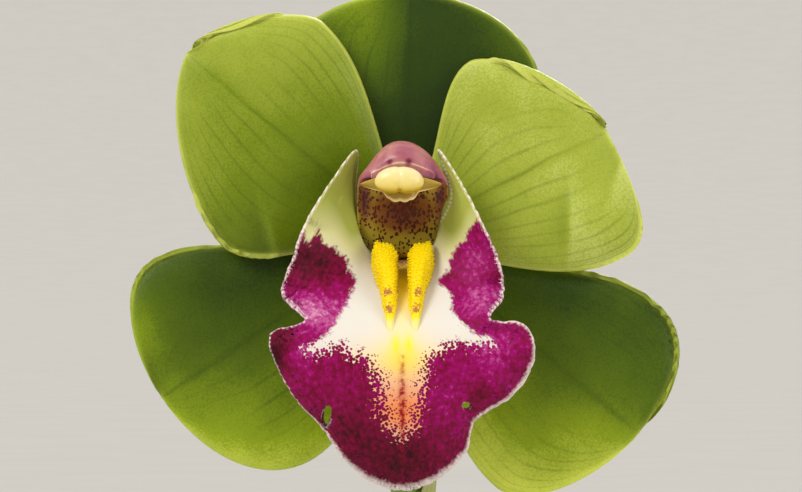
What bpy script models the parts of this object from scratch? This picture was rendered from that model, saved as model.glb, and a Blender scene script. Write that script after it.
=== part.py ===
"""Potted Cymbidium orchid with one open bloom: clay pot, bark, bulbs, strap leaves, spike and flower.

Metres, +Z up, origin at the centre of the pot's underside. The bloom faces -Y.
"""

import math

import bpy
import numpy as np

MM = 0.001
GAP = 0.3 * MM  # air left between a piece and what carries it

# Pot
POT_HEIGHT = 115 * MM
POT_BASE_RADIUS = 43 * MM
POT_TOP_RADIUS = 58 * MM
POT_WALL = 5 * MM
POT_FLOOR = 7 * MM
COLLAR_HEIGHT = 24 * MM
COLLAR_STEP = 4 * MM
POT_EDGE = 1.5 * MM
DRAIN_RADIUS = 5 * MM
DRAIN_CIRCLE = 21 * MM
DRAIN_COUNT = 4
POT_SIDES = 48

# Bark mix
BARK_BELOW_RIM = 17 * MM
BARK_LUMP = 1.6 * MM
SOCKET_DEPTH = 5 * MM

# Pseudobulbs: x, y, radius and height of each
BULBS = (
    (19 * MM, -5 * MM, 15.5 * MM, 58 * MM),
    (-20 * MM, -4 * MM, 14.5 * MM, 54 * MM),
    (5 * MM, 29 * MM, 13.5 * MM, 50 * MM),
    (-25 * MM, 28 * MM, 10.5 * MM, 36 * MM),
)

# Leaves: bulb, way it arches in degrees, layer (0 inside), length, half width, lean at foot and tip
LEAF_THICKNESS = 0.9 * MM
LEAVES = (
    (0, -32, 1, 205 * MM, 12.0 * MM, 20, 112),
    (0, 148, 0, 185 * MM, 11.5 * MM, -1, -38),
    (0, -22, 0, 200 * MM, 11.0 * MM, 8, 72),
    (1, 205, 1, 210 * MM, 12.0 * MM, 20, 116),
    (1, 25, 0, 175 * MM, 11.0 * MM, -1, -34),
    (1, 196, 0, 200 * MM, 11.5 * MM, 8, 74),
    (2, 62, 1, 185 * MM, 11.5 * MM, 18, 108),
    (2, 242, 0, 165 * MM, 10.5 * MM, 0, -30),
    (2, 72, 0, 180 * MM, 10.5 * MM, 7, 66),
    (3, 150, 0, 165 * MM, 10.0 * MM, 14, 100),
)
SHEATH_FOOT = 9 * MM
FOLD_ANGLE = 24

# Spike, pedicel and bracts
SPIKE_FOOT = (7 * MM, -33 * MM)
SPIKE_RADIUS = 4.2 * MM
SPIKE_TIP_RADIUS = 3.0 * MM
SPIKE_BEHIND_BLOOM = 36 * MM
SPIKE_BELOW_BLOOM = 12 * MM
BRACT_HEIGHTS = (0.07, 0.30, 0.54, 0.78)
BRACT_LENGTH = 42 * MM
BRACT_THICKNESS = 0.6 * MM
OVARY_RADIUS = 3.2 * MM
PEDICEL_RADIUS = 2.1 * MM

# Bloom: where its centre is, and its size against the outlines below, which are for a bloom 95 mm wide
BLOOM_Y = -80 * MM
BLOOM_Z = 385 * MM
BLOOM_SIZE = 1.0
TEPAL_THICKNESS = 1.1
LIP_THICKNESS = 0.9
THROAT_RADIUS = 3.6

# How sepals and petals bend, in millimetres: cup, arch, roll and wave
DORSAL_BEND = (1.6, 1.0, 0.8, 0.4)
PETAL_BEND = (1.2, 2.0, 2.4, 0.8)
LATERAL_BEND = (2.0, 1.0, 1.6, 0.6)
# Each tepal: way it points, length, foot out, forward tilt, the side to its left and to its right, bend.
# A side is its width, the share of the length where it is widest, its end's roundness and how fast it widens
TEPALS = {
    "dorsal_sepal": (88, 41.8, 0.8, 3, (23.4, 0.58, 2.0, 1.4), (22.8, 0.60, 2.0, 1.4), DORSAL_BEND),
    "petal_left": (140, 48.4, 2.6, 9, (21.0, 0.46, 1.5, 1.7), (19.0, 0.71, 1.5, 1.6), PETAL_BEND),
    "petal_right": (27, 39.4, 2.6, 9, (21.2, 0.61, 1.5, 2.4), (20.4, 0.79, 3.0, 1.3), PETAL_BEND),
    "lateral_sepal_left": (214, 50.2, 0.8, 4, (23.2, 0.67, 2.1, 1.5), (20.2, 0.77, 2.0, 2.5), LATERAL_BEND),
    "lateral_sepal_right": (-40, 53.2, 0.8, 4, (18.8, 0.76, 2.3, 2.3), (22.8, 0.76, 1.8, 1.6), LATERAL_BEND),
}
TEPAL_FOOT = 3.4

# Lip, in millimetres from the bloom's centre. Each row is one place along it: the middle's height and reach,
# then the left margin's and the right margin's sideways place, height and reach
LIP_ROWS = (
    ((-4.3, 4.6), (-4.6, -1.5, 5.4), (4.6, -1.5, 5.4)),
    ((-5.0, 7.5), (-8.0, 6.0, 9.5), (7.6, 6.5, 9.5)),
    ((-6.0, 10.5), (-8.0, 14.2, 14.5), (6.8, 14.2, 14.5)),
    ((-7.2, 14.0), (-12.0, 7.8, 17.5), (9.6, 8.6, 17.5)),
    ((-8.8, 17.5), (-16.4, 1.6, 20.0), (13.0, 1.6, 20.0)),
    ((-10.5, 20.5), (-18.6, -4.2, 22.0), (16.0, -4.0, 22.0)),
    ((-12.4, 23.0), (-20.2, -9.8, 23.5), (16.8, -9.8, 23.5)),
    ((-14.8, 25.0), (-16.4, -14.4, 25.0), (14.6, -14.2, 25.0)),
    ((-18.2, 26.5), (-22.0, -16.6, 25.0), (20.4, -15.2, 25.0)),
    ((-22.6, 27.0), (-21.4, -21.0, 24.0), (22.0, -20.2, 24.0)),
    ((-27.6, 26.3), (-18.0, -27.4, 22.5), (19.0, -26.2, 22.5)),
    ((-33.0, 24.5), (-13.6, -32.2, 21.0), (12.2, -30.6, 21.0)),
    ((-37.8, 22.0), (-9.8, -37.8, 20.0), (10.6, -36.2, 20.0)),
    ((-41.2, 19.5), (-5.6, -41.4, 18.6), (6.2, -40.8, 18.6)),
    ((-43.0, 18.0), (-1.4, -43.0, 17.9), (1.4, -43.0, 17.9)),
)
THROAT_WIDTH = 10.2
# Keels on the lip: place along the lip, sideways place, half width and height above the lip
KEEL_ROWS = (
    (0.20, 3.0, 1.5, 5.2),
    (0.27, 2.9, 1.7, 5.6),
    (0.36, 2.4, 1.2, 4.2),
    (0.46, 2.2, 1.0, 2.4),
    (0.53, 2.1, 0.8, 0.5),
)

# Column: height, reach, half width, height of its back above the middle and depth of its face below it
COLUMN_ROWS = (
    (0.0, 0.3, 3.0, 3.0, 3.0),
    (0.0, 4.4, 3.0, 3.0, 3.0),
    (0.2, 7.4, 5.6, 3.1, 3.8),
    (2.4, 10.8, 7.3, 3.4, 2.6),
    (6.0, 14.3, 7.6, 4.0, 1.6),
    (9.0, 17.0, 7.4, 5.4, 1.4),
    (10.6, 19.2, 6.4, 5.6, 1.8),
    (10.8, 20.8, 4.6, 3.8, 1.4),
)
CAP_HALF_WIDTH = 4.6
CAP_HALF_HEIGHT = 2.4
CAP_HALF_DEPTH = 2.0
CAP_HEIGHT = 9.6
CAP_SIDEWAYS = -0.6

COLOURS = {
    "clay": (0.42, 0.15, 0.07),
    "bark": (0.10, 0.05, 0.03),
    "bulb": (0.17, 0.22, 0.05),
    "leaf": (0.05, 0.14, 0.02),
    "spike": (0.16, 0.24, 0.05),
    "tepal": (0.30, 0.38, 0.04),
    "lip": (0.50, 0.05, 0.18),
    "column": (0.45, 0.20, 0.18),
    "cap": (0.85, 0.68, 0.25),
}


def clear_scene():
    for obj in list(bpy.data.objects):
        bpy.data.objects.remove(obj)


def new_collection(name):
    made = bpy.data.collections.new(name)
    bpy.context.scene.collection.children.link(made)
    return made


def material_for(name, colour, roughness):
    material = bpy.data.materials.new(name)
    material.use_nodes = True
    shader = material.node_tree.nodes["Principled BSDF"]
    shader.inputs["Base Color"].default_value = (*colour, 1)
    shader.inputs["Roughness"].default_value = roughness
    return material


def mesh_object(name, points, faces, colour, origin=(0, 0, 0), roughness=0.5):
    """One object from world points, with its origin at the place it is fixed by."""
    origin = np.array(origin, float)
    mesh = bpy.data.meshes.new(name)
    mesh.from_pydata([tuple(map(float, p)) for p in np.array(points) - origin], [], faces)
    mesh.validate()
    obj = bpy.data.objects.new(name, mesh)
    obj.location = origin
    mesh.materials.append(material_for(name, COLOURS[colour], roughness))
    ORCHID.objects.link(obj)
    return obj


def unit(vectors):
    lengths = np.linalg.norm(vectors, axis=-1, keepdims=True)
    return vectors / np.maximum(lengths, 1e-9)


def smooth_rows(rows, places):
    """A smooth curve through the rows, read at places from 0 (first row) to 1 (last row)."""
    rows = np.array(rows, float)
    ends = np.vstack([2 * rows[0] - rows[1], rows, 2 * rows[-1] - rows[-2]])
    at = np.clip(np.array(places, float), 0, 1) * (len(rows) - 1)
    first = np.minimum(at.astype(int), len(rows) - 2)
    t = (at - first)[:, None]
    a, b, c, d = (ends[first + k] for k in range(4))
    bend = (2 * a - 5 * b + 4 * c - d) * t**2 + (3 * b - a - 3 * c + d) * t**3
    return b + 0.5 * ((c - a) * t + bend)


def sheet_body(grid, thickness):
    """Points and faces of a closed thin body round a grid of points, thinner towards its margins."""
    rows, columns, _ = grid.shape
    normals = unit(np.cross(np.gradient(grid, axis=0), np.gradient(grid, axis=1)))
    across = np.abs(np.linspace(-1, 1, columns))[None, :, None]
    half = 0.5 * thickness * (1 - 0.45 * across**3)
    points = np.concatenate([grid + half * normals, grid - half * normals]).reshape(-1, 3)
    front = np.arange(rows * columns).reshape(rows, columns)
    back = front + rows * columns
    faces = []
    for i in range(rows - 1):
        for j in range(columns - 1):
            faces.append([front[i, j], front[i + 1, j], front[i + 1, j + 1], front[i, j + 1]])
            faces.append([back[i, j], back[i, j + 1], back[i + 1, j + 1], back[i + 1, j]])
    rim = [(i, 0) for i in range(rows)] + [(rows - 1, j) for j in range(1, columns)]
    rim += [(i, columns - 1) for i in range(rows - 2, -1, -1)] + [(0, j) for j in range(columns - 2, 0, -1)]
    for (i, j), (k, m) in zip(rim, rim[1:] + rim[:1]):
        faces.append([front[i, j], back[i, j], back[k, m], front[k, m]])
    return points, [[int(v) for v in face] for face in faces]


def tube_body(rings):
    """Points and faces of a closed body through rings of points, flat at both ends."""
    rings = np.array(rings)
    count, sides, _ = rings.shape
    number = np.arange(count * sides).reshape(count, sides)
    faces = [[int(v) for v in number[0]], [int(v) for v in number[-1][::-1]]]
    for i in range(count - 1):
        for j in range(sides):
            k = (j + 1) % sides
            face = (number[i, j], number[i + 1, j], number[i + 1, k], number[i, k])
            faces.append([int(v) for v in face])
    return rings.reshape(-1, 3), faces


def rings_along(path, radii, sides):
    """Round rings square to a path that stays square to X."""
    path = np.array(path, float)
    ways = unit(np.gradient(path, axis=0))
    first = unit(np.cross(ways, (1.0, 0.0, 0.0)))
    second = np.cross(ways, first)
    turn = np.linspace(0, 2 * math.pi, sides, endpoint=False)
    round_way = np.cos(turn)[None, :, None] * first[:, None] + np.sin(turn)[None, :, None] * second[:, None]
    return path[:, None] + np.array(radii)[:, None, None] * round_way


def outward(obj):
    """Turns every face outwards."""
    mesh = obj.data
    points = np.array([v.co for v in mesh.vertices])
    mesh.calc_loop_triangles()
    corners = points[np.array([t.vertices for t in mesh.loop_triangles])]
    if np.linalg.det(corners).sum() < 0:
        mesh.flip_normals()
    return obj


def pot_inner_radius(height):
    """Radius of the pot's hollow at a height."""
    return POT_BASE_RADIUS + (POT_TOP_RADIUS - POT_BASE_RADIUS) * height / POT_HEIGHT - POT_WALL


def build_pot():
    collar_foot = POT_HEIGHT - COLLAR_HEIGHT
    at_collar = pot_inner_radius(collar_foot) + POT_WALL
    profile = [
        (0, 0),
        (POT_BASE_RADIUS - POT_EDGE, 0),
        (POT_BASE_RADIUS, POT_EDGE),
        (at_collar, collar_foot),
        (at_collar + COLLAR_STEP, collar_foot + POT_EDGE),
        (POT_TOP_RADIUS + COLLAR_STEP, POT_HEIGHT - POT_EDGE),
        (POT_TOP_RADIUS + COLLAR_STEP - POT_EDGE, POT_HEIGHT),
        (POT_TOP_RADIUS - POT_WALL + POT_EDGE, POT_HEIGHT),
        (POT_TOP_RADIUS - POT_WALL, POT_HEIGHT - POT_EDGE),
        (pot_inner_radius(POT_FLOOR), POT_FLOOR),
        (0, POT_FLOOR),
    ]
    points = [(radius, 0, height) for radius, height in profile]
    mesh = bpy.data.meshes.new("pot")
    mesh.from_pydata(points, [(i, i + 1) for i in range(len(points) - 1)], [])
    pot = bpy.data.objects.new("pot", mesh)
    mesh.materials.append(material_for("pot", COLOURS["clay"], 0.8))
    ORCHID.objects.link(pot)
    turned = pot.modifiers.new("Turned", "SCREW")
    turned.steps = turned.render_steps = POT_SIDES
    turned.use_merge_vertices = True
    turned.merge_threshold = 0.00001
    turned.use_normal_calculate = True
    for k in range(DRAIN_COUNT):
        angle = 2 * math.pi * (k + 0.5) / DRAIN_COUNT
        x, y = DRAIN_CIRCLE * math.cos(angle), DRAIN_CIRCLE * math.sin(angle)
        rings = rings_along([(x, y, -POT_FLOOR), (x, y, 2 * POT_FLOOR)], [DRAIN_RADIUS, DRAIN_RADIUS], 16)
        add_boolean(pot, cutter_object(f"drain_cutter_{k + 1}", tube_body(rings)), "DIFFERENCE")


def bark_level():
    return POT_HEIGHT - BARK_BELOW_RIM


def bulb_radius(share):
    """A bulb's radius against its widest, from its foot (0) to its top (1)."""
    return math.sin(math.pi * (0.08 + 0.86 * share) ** 0.7) ** 0.75


def bulb_rings(bulb, extra=0.0):
    x, y, radius, height = bulb
    shares = np.linspace(0, 1, 11)
    foot = bark_level() - SOCKET_DEPTH
    path = [(x, y, foot + share * height) for share in shares]
    path[0] = (x, y, foot - extra)
    return rings_along(path, [radius * bulb_radius(share) + extra for share in shares], 20)


def cutter_object(name, body):
    points, faces = body
    mesh = bpy.data.meshes.new(name)
    mesh.from_pydata([tuple(map(float, p)) for p in points], [], faces)
    cutter = outward(bpy.data.objects.new(name, mesh))
    cutter.hide_render = True
    cutter.display_type = "WIRE"
    CUTTERS.objects.link(cutter)
    return cutter


def add_boolean(obj, cutter, operation):
    modifier = obj.modifiers.new(cutter.name, "BOOLEAN")
    modifier.operation = operation
    modifier.solver = "EXACT"
    modifier.object = cutter


def build_bark_mix():
    """The filling, with a lumpy top and a socket for each bulb and for the spike."""
    level = bark_level()
    sides = 40
    turn = np.linspace(0, 2 * math.pi, sides, endpoint=False)
    rings = []
    for radius, height in ((pot_inner_radius(POT_FLOOR), POT_FLOOR + GAP), (pot_inner_radius(level), level)):
        reach = radius - 3 * GAP
        rings.append([(reach * math.cos(a), reach * math.sin(a), height) for a in turn])
    for share in (0.86, 0.70, 0.54, 0.38, 0.22, 0.06):
        ring = []
        for a in turn:
            x = share * pot_inner_radius(level) * math.cos(a)
            y = share * pot_inner_radius(level) * math.sin(a)
            lump = math.sin(x * 410 + 1.3) * math.cos(y * 370 - 0.4) + 0.5 * math.sin((x - y) * 760)
            ring.append((x, y, level + BARK_LUMP * lump / 1.5))
        rings.append(ring)
    points, faces = tube_body(rings)
    bark = outward(mesh_object("bark_mix", points, faces, "bark", (0, 0, POT_FLOOR), 0.9))
    for number, bulb in enumerate(BULBS, 1):
        socket = cutter_object(f"socket_cutter_{number}", tube_body(bulb_rings(bulb, GAP)))
        add_boolean(bark, socket, "DIFFERENCE")
    foot = spike_path()[:2]
    rings = rings_along([foot[0] - (0, 0, GAP), foot[1]], [SPIKE_RADIUS + GAP] * 2, 16)
    add_boolean(bark, cutter_object("spike_socket_cutter", tube_body(rings)), "DIFFERENCE")


def build_bulbs():
    for number, bulb in enumerate(BULBS, 1):
        points, faces = tube_body(bulb_rings(bulb))
        foot = (bulb[0], bulb[1], bark_level() - SOCKET_DEPTH)
        outward(mesh_object(f"pseudobulb_{number}", points, faces, "bulb", foot, 0.45))


def leaf_grid(leaf, rows=17, columns=5):
    """The middle surface of a strap leaf: a sheath up the bulb's side, then a folded blade that arches."""
    bulb, way, layer, length, half_width, lean, tip_lean = leaf
    x, y, radius, height = BULBS[bulb]
    outward_way = np.array((math.cos(math.radians(way)), math.sin(math.radians(way)), 0.0))
    side = np.array((-outward_way[1], outward_way[0], 0.0))
    upward = np.array((0.0, 0.0, 1.0))
    foot = np.array((x, y, bark_level() - SOCKET_DEPTH))
    off = 2.6 * GAP + LEAF_THICKNESS * 0.5 + layer * (LEAF_THICKNESS + 2 * GAP)
    leaves_at = 0.60 if layer else 0.76
    starts_at = (SOCKET_DEPTH + SHEATH_FOOT * (1 - 0.4 * layer)) / height
    sheath_rows = 5
    grid = np.empty((rows, columns, 3))
    across = np.linspace(-1, 1, columns)
    place = foot
    for i in range(rows):
        if i < sheath_rows:
            share = starts_at + (leaves_at - starts_at) * i / (sheath_rows - 1)
            distance = radius * bulb_radius(share) + off
            place = foot + distance * outward_way + share * height * upward
            inward, curl, fold = -outward_way, distance, 0.0
            width = min(1.15 * distance, half_width * 1.25)
            sheath_width = width
        else:
            t = (i - sheath_rows + 1) / (rows - sheath_rows)
            angle = math.radians(lean + (tip_lean - lean) * t**1.4)
            step = length / (rows - sheath_rows)
            place = place + step * (math.sin(angle) * outward_way + math.cos(angle) * upward)
            inward = math.sin(angle) * upward - math.cos(angle) * outward_way
            curl = distance * (1 + 40 * t**1.3)
            fold = math.tan(math.radians(FOLD_ANGLE)) * min(t / 0.3, 1.0) * (1 - 0.5 * t)
            swell = min(t / 0.35, 1.0)
            taper = 1 - max(0.0, (t - 0.45) / 0.55) ** 2.2
            width = (sheath_width * 0.8 * (1 - swell) + half_width * swell) * taper + 0.8 * MM
        reach = across * width
        shift = curl * np.sin(reach / curl)
        rise = curl * (1 - np.cos(reach / curl)) + np.abs(reach) * fold
        grid[i] = place + shift[:, None] * side + rise[:, None] * inward
    return grid


def build_leaves():
    for number, leaf in enumerate(LEAVES, 1):
        grid = leaf_grid(leaf)
        points, faces = sheet_body(grid, LEAF_THICKNESS)
        outward(mesh_object(f"leaf_{number}", points, faces, "leaf", grid[0, grid.shape[1] // 2], 0.4))


def spike_path():
    """Middle line of the flower spike, from its socket in the bark to its tip behind the bloom."""
    foot_x, foot_y = SPIKE_FOOT
    top_y = BLOOM_Y + SPIKE_BEHIND_BLOOM
    top = BLOOM_Z - SPIKE_BELOW_BLOOM
    foot = bark_level() - SOCKET_DEPTH
    rows = [
        (foot_x, foot_y, foot),
        (foot_x, foot_y - 1 * MM, foot + 0.22 * (top - foot)),
        (foot_x * 0.7, foot_y + (top_y - foot_y) * 0.55, foot + 0.50 * (top - foot)),
        (foot_x * 0.3, foot_y + (top_y - foot_y) * 0.85, foot + 0.76 * (top - foot)),
        (0.0, top_y, top),
        (0.0, top_y, top + 12 * MM),
    ]
    fine = smooth_rows(rows, np.linspace(0, 1, 201))
    run = np.concatenate([[0], np.cumsum(np.linalg.norm(np.diff(fine, axis=0), axis=1))])
    return np.stack([np.interp(np.linspace(0, run[-1], 25), run, fine[:, k]) for k in range(3)], axis=1)


def spike_radius(share):
    return SPIKE_RADIUS + (SPIKE_TIP_RADIUS - SPIKE_RADIUS) * share


def build_spike():
    path = spike_path()
    shares = np.linspace(0, 1, len(path))
    radii = [spike_radius(s) * min(1.0, 0.35 + 17 * (1 - s)) for s in shares]
    points, faces = tube_body(rings_along(path, radii, 12))
    outward(mesh_object("flower_spike", points, faces, "spike", path[0]))


def bract_grid(share, way, length, wrap, rows=7, columns=9):
    """A sheathing bract: wraps the spike at its foot and narrows to a point that stands off a little."""
    path = spike_path()
    steps = np.linspace(0, 1, len(path))
    total = np.linalg.norm(np.diff(path, axis=0), axis=1).sum()
    grid = np.empty((rows, columns, 3))
    for i in range(rows):
        t = i / (rows - 1)
        at = share + t * length / total
        place = np.array([np.interp(at, steps, path[:, k]) for k in range(3)])
        radius = spike_radius(at) + 2 * GAP + BRACT_THICKNESS / 2 + 3.5 * MM * t**3
        spread = wrap * (1 - t**1.7) + 0.06
        angles = math.radians(way) + np.linspace(-spread, spread, columns)
        grid[i] = place + radius * np.stack([np.cos(angles), np.sin(angles), 0 * angles], axis=1)
    return grid


def build_bracts():
    for number, share in enumerate(BRACT_HEIGHTS, 1):
        way = (200, 20, 190, 30)[(number - 1) % 4]
        grid = bract_grid(share, way, BRACT_LENGTH * (1.1 - 0.4 * share), 2.3)
        points, faces = sheet_body(grid, BRACT_THICKNESS)
        outward(mesh_object(f"spike_bract_{number}", points, faces, "spike", grid[0, grid.shape[1] // 2]))


def in_world(points):
    """Bloom millimetres (sideways, up, out towards the front) as world metres."""
    points = np.array(points, float) * BLOOM_SIZE * MM
    return np.stack([points[..., 0], BLOOM_Y - points[..., 2], BLOOM_Z + points[..., 1]], axis=-1)


def build_ovary():
    """Pedicel and ovary, one stalk from the spike to the back of the bloom."""
    back = SPIKE_BEHIND_BLOOM / MM / BLOOM_SIZE - (SPIKE_TIP_RADIUS + 4 * GAP) / MM / BLOOM_SIZE
    drop = SPIKE_BELOW_BLOOM / MM / BLOOM_SIZE
    rows = [
        (0, 0, 0),
        (0, -0.38, -4),
        (0, -0.35 * drop, -0.45 * back),
        (0, -0.75 * drop, -0.78 * back),
        (0, -drop, -back),
    ]
    shares = np.linspace(0, 1, 13)
    path = in_world(smooth_rows(rows, shares))
    radii = [PEDICEL_RADIUS + (OVARY_RADIUS - PEDICEL_RADIUS) * (1 - s) ** 0.7 for s in shares]
    points, faces = tube_body(rings_along(path, radii, 12))
    outward(mesh_object("ovary_and_pedicel", points, faces, "spike", path[0]))


def side_width(side, share):
    width, widest, roundness, growth = side
    if share < widest:
        return TEPAL_FOOT + (width - TEPAL_FOOT) * math.sin(math.pi / 2 * share / widest) ** growth
    past = (share - widest) / (1 - widest)
    return width * (1 - past**roundness) ** (1 / roundness)


def tepal_grid(shape, rows=13, columns=9):
    """The middle surface of a sepal or petal, as bloom millimetres."""
    way, length, foot_out, tilt, left, right, (cup, arch, roll, wave) = shape
    along_way = np.array((math.cos(math.radians(way)), math.sin(math.radians(way))))
    left_way = np.array((-along_way[1], along_way[0]))
    first = THROAT_RADIUS / length
    grid = np.empty((rows, columns, 3))
    for i in range(rows):
        share = first + (0.994 - first) * math.sin(math.pi / 2 * i / (rows - 1)) ** 1.1
        for j in range(columns):
            v = 1 - 2 * j / (columns - 1)
            across = v * side_width(left if v > 0 else right, share)
            out = foot_out + share * length * math.tan(math.radians(tilt)) + arch * math.sin(math.pi * share)
            out += cup * v * v * share - roll * (abs(v) ** 6 * min(1.0, 2 * share) + 0.8 * share**10)
            out += wave * math.sin(9 * share + 2 * v) * abs(v) ** 3 * share
            grid[i, j, :2] = share * length * along_way + across * left_way
            grid[i, j, 2] = out
    return grid


def build_tepals():
    for name, shape in TEPALS.items():
        grid = in_world(tepal_grid(shape))
        points, faces = sheet_body(grid, TEPAL_THICKNESS * MM * BLOOM_SIZE)
        outward(mesh_object(name, points, faces, "tepal", grid[0, grid.shape[1] // 2]))


def lip_grid(rows=34, columns=25):
    """The middle surface of the lip: a trough round the column, then the front lobe that turns down."""
    places = np.linspace(0, 1, rows)
    middle = smooth_rows([(0.0, *row[0]) for row in LIP_ROWS], places)
    grid = np.empty((rows, columns, 3))
    throat = THROAT_WIDTH * np.exp(-(((places - 0.12) / 0.09) ** 2))
    for number, sign in ((1, 1), (2, -1)):
        edge = smooth_rows([row[number] for row in LIP_ROWS], places)
        side = edge[0, 0] / abs(edge[0, 0])
        waist = side * np.maximum(np.abs(edge[:, 0]), throat)
        low = middle.copy()
        low[:, 0] = (0.72 + 0.24 * throat / THROAT_WIDTH) * waist
        high = middle + 0.5 * (edge - middle)
        high[:, 0] = (1 + 0.15 * throat / THROAT_WIDTH) * waist
        for j in range(columns):
            v = sign * (1 - 2 * j / (columns - 1))
            if v >= 0:
                t = v
                rising = 3 * (1 - t) ** 2 * t * low + 3 * (1 - t) * t * t * high
                grid[:, j] = (1 - t) ** 3 * middle + rising + t**3 * edge
    return grid


def keel_rings(sign):
    rings = []
    places = [row[0] for row in KEEL_ROWS]
    middle = smooth_rows([row[0] for row in LIP_ROWS], places)
    ways = unit(smooth_rows([row[0] for row in LIP_ROWS], np.array(places) + 0.02) - middle)
    for (_, sideways, half_width, height), centre, way in zip(KEEL_ROWS, middle, ways):
        lift = np.array((way[1], -way[0]))
        ring = []
        for angle in np.linspace(0, 2 * math.pi, 10, endpoint=False):
            rise = height * 0.5 * (1 + math.sin(angle)) - 0.25
            up, out = centre + lift * rise
            ring.append((sign * sideways + half_width * math.cos(angle), up, out))
        rings.append(ring)
    return in_world(rings)


def build_lip():
    grid = in_world(lip_grid())
    points, faces = sheet_body(grid, LIP_THICKNESS * MM * BLOOM_SIZE)
    lip = outward(mesh_object("lip", points, faces, "lip", grid[0, grid.shape[1] // 2]))
    for side, sign in (("left", -1), ("right", 1)):
        add_boolean(lip, cutter_object(f"keel_{side}_joiner", tube_body(keel_rings(sign))), "UNION")


def build_column():
    rows = smooth_rows(COLUMN_ROWS, np.linspace(0, 1, 15))
    ways = unit(np.gradient(rows[:, :2], axis=0))
    rings = []
    for (up, out, half_width, back, face), way in zip(rows, ways):
        ring = []
        for angle in np.linspace(0, 2 * math.pi, 20, endpoint=False):
            rise = math.sin(angle) * (back if math.sin(angle) > 0 else face)
            ring.append((half_width * math.cos(angle), up + way[1] * rise, out - way[0] * rise))
        rings.append(ring)
    points, faces = tube_body(in_world(rings))
    outward(mesh_object("column", points, faces, "column", in_world([0, 0, COLUMN_ROWS[0][1]])))


def build_anther_cap():
    reach = COLUMN_ROWS[-1][1] + GAP / MM + CAP_HALF_DEPTH
    rings = []
    for place in np.linspace(-0.97, 0.97, 13):
        size = math.sqrt(1 - place * place) * (1 - 0.2 * math.exp(-((place / 0.2) ** 2)))
        ring = []
        for angle in np.linspace(0, 2 * math.pi, 14, endpoint=False):
            up = CAP_HEIGHT + CAP_HALF_HEIGHT * size * math.sin(angle)
            out = reach + CAP_HALF_DEPTH * size * math.cos(angle)
            ring.append((CAP_SIDEWAYS + CAP_HALF_WIDTH * place, up, out))
        rings.append(ring)
    points, faces = tube_body(in_world(rings))
    seat = in_world([CAP_SIDEWAYS, CAP_HEIGHT, reach - CAP_HALF_DEPTH])
    outward(mesh_object("anther_cap", points, faces, "cap", seat))


clear_scene()
ORCHID = new_collection("potted_orchid")
CUTTERS = new_collection("cutters")
CUTTERS.hide_render = True
build_pot()
build_bark_mix()
build_bulbs()
build_leaves()
build_spike()
build_bracts()
build_ovary()
build_tepals()
build_lip()
build_column()
build_anther_cap()
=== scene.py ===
# %% [markdown]
# # A potted boat orchid with one open bloom
# The plant is a Cymbidium hybrid. Its parts are kept apart as they grow: three sepals, two petals, a lip and
# a column make the bloom, a spike carries it, and bulbs and strap leaves stand in bark in a clay pot.
# The measured model is loaded first. It fixes every size and place, and the pieces below are built round it.

import functools
import math

import bmesh
import bpy
import numpy as np
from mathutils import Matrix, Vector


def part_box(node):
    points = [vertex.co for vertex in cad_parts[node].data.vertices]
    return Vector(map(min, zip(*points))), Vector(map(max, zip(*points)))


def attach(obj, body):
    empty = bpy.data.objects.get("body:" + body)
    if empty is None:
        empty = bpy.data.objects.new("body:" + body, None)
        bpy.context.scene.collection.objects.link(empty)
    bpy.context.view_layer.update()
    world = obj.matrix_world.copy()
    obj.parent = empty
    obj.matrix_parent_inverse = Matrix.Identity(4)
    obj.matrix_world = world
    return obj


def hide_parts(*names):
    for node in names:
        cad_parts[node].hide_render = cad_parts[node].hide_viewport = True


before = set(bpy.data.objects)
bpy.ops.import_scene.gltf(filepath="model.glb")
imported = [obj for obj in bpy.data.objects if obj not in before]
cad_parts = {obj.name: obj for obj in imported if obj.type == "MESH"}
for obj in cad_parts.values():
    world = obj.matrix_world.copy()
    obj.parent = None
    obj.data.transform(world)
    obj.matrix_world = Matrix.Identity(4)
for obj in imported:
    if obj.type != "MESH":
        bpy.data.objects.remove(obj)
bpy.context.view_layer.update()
MM = 0.001

# %% [markdown]
# ## Where the bloom is
# The stalk behind the bloom ends at the bloom's centre, with its top edge one stalk radius above it. So the
# stalk's box gives the centre. Flower sizes are then written in millimetres from there: x sideways, up, and
# out towards the side that the bloom faces.

# %% The bloom's own measure
OVARY_RADIUS = 3.2 * MM
stalk_low, stalk_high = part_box("ovary_and_pedicel")
BLOOM_Y = stalk_low.y
BLOOM_Z = stalk_high.z - OVARY_RADIUS


def in_world(points):
    """Bloom millimetres (sideways, up, out) as metres in the model's frame."""
    points = np.array(points, float) * MM
    return np.stack([points[..., 0], BLOOM_Y - points[..., 2], BLOOM_Z + points[..., 1]], axis=-1)


def in_scene(name, data):
    """A new object with this data, in the scene."""
    made = bpy.data.objects.new(name, data)
    bpy.context.scene.collection.objects.link(made)
    return made


print("bloom centre in mm:", round(BLOOM_Y / MM, 1), round(BLOOM_Z / MM, 1))

# %% [markdown]
# ## Camera
# The bloom fills the view, seen square from the front. A long lens from 0.8 m keeps the lip, which stands
# 25 mm in front of the petals, from looking too big.

# %% Camera in front of the bloom
CAMERA_DISTANCE = 0.80
VIEW_WIDTH = 139 * MM
AIM_ASIDE = 0.3 * MM
AIM_DOWN = 1.9 * MM
SENSOR_WIDTH = 36
camera_data = bpy.data.cameras.new("bloom_camera")
camera = in_scene("bloom_camera", camera_data)
camera.location = (-AIM_ASIDE, BLOOM_Y - CAMERA_DISTANCE, BLOOM_Z - AIM_DOWN)
camera.rotation_euler = (math.pi / 2, 0, 0)
camera_data.sensor_width = SENSOR_WIDTH
camera_data.lens = SENSOR_WIDTH * CAMERA_DISTANCE / VIEW_WIDTH
camera_data.clip_start = 0.02
bpy.context.scene.camera = camera
print("lens in mm:", round(camera_data.lens, 1))

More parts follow.
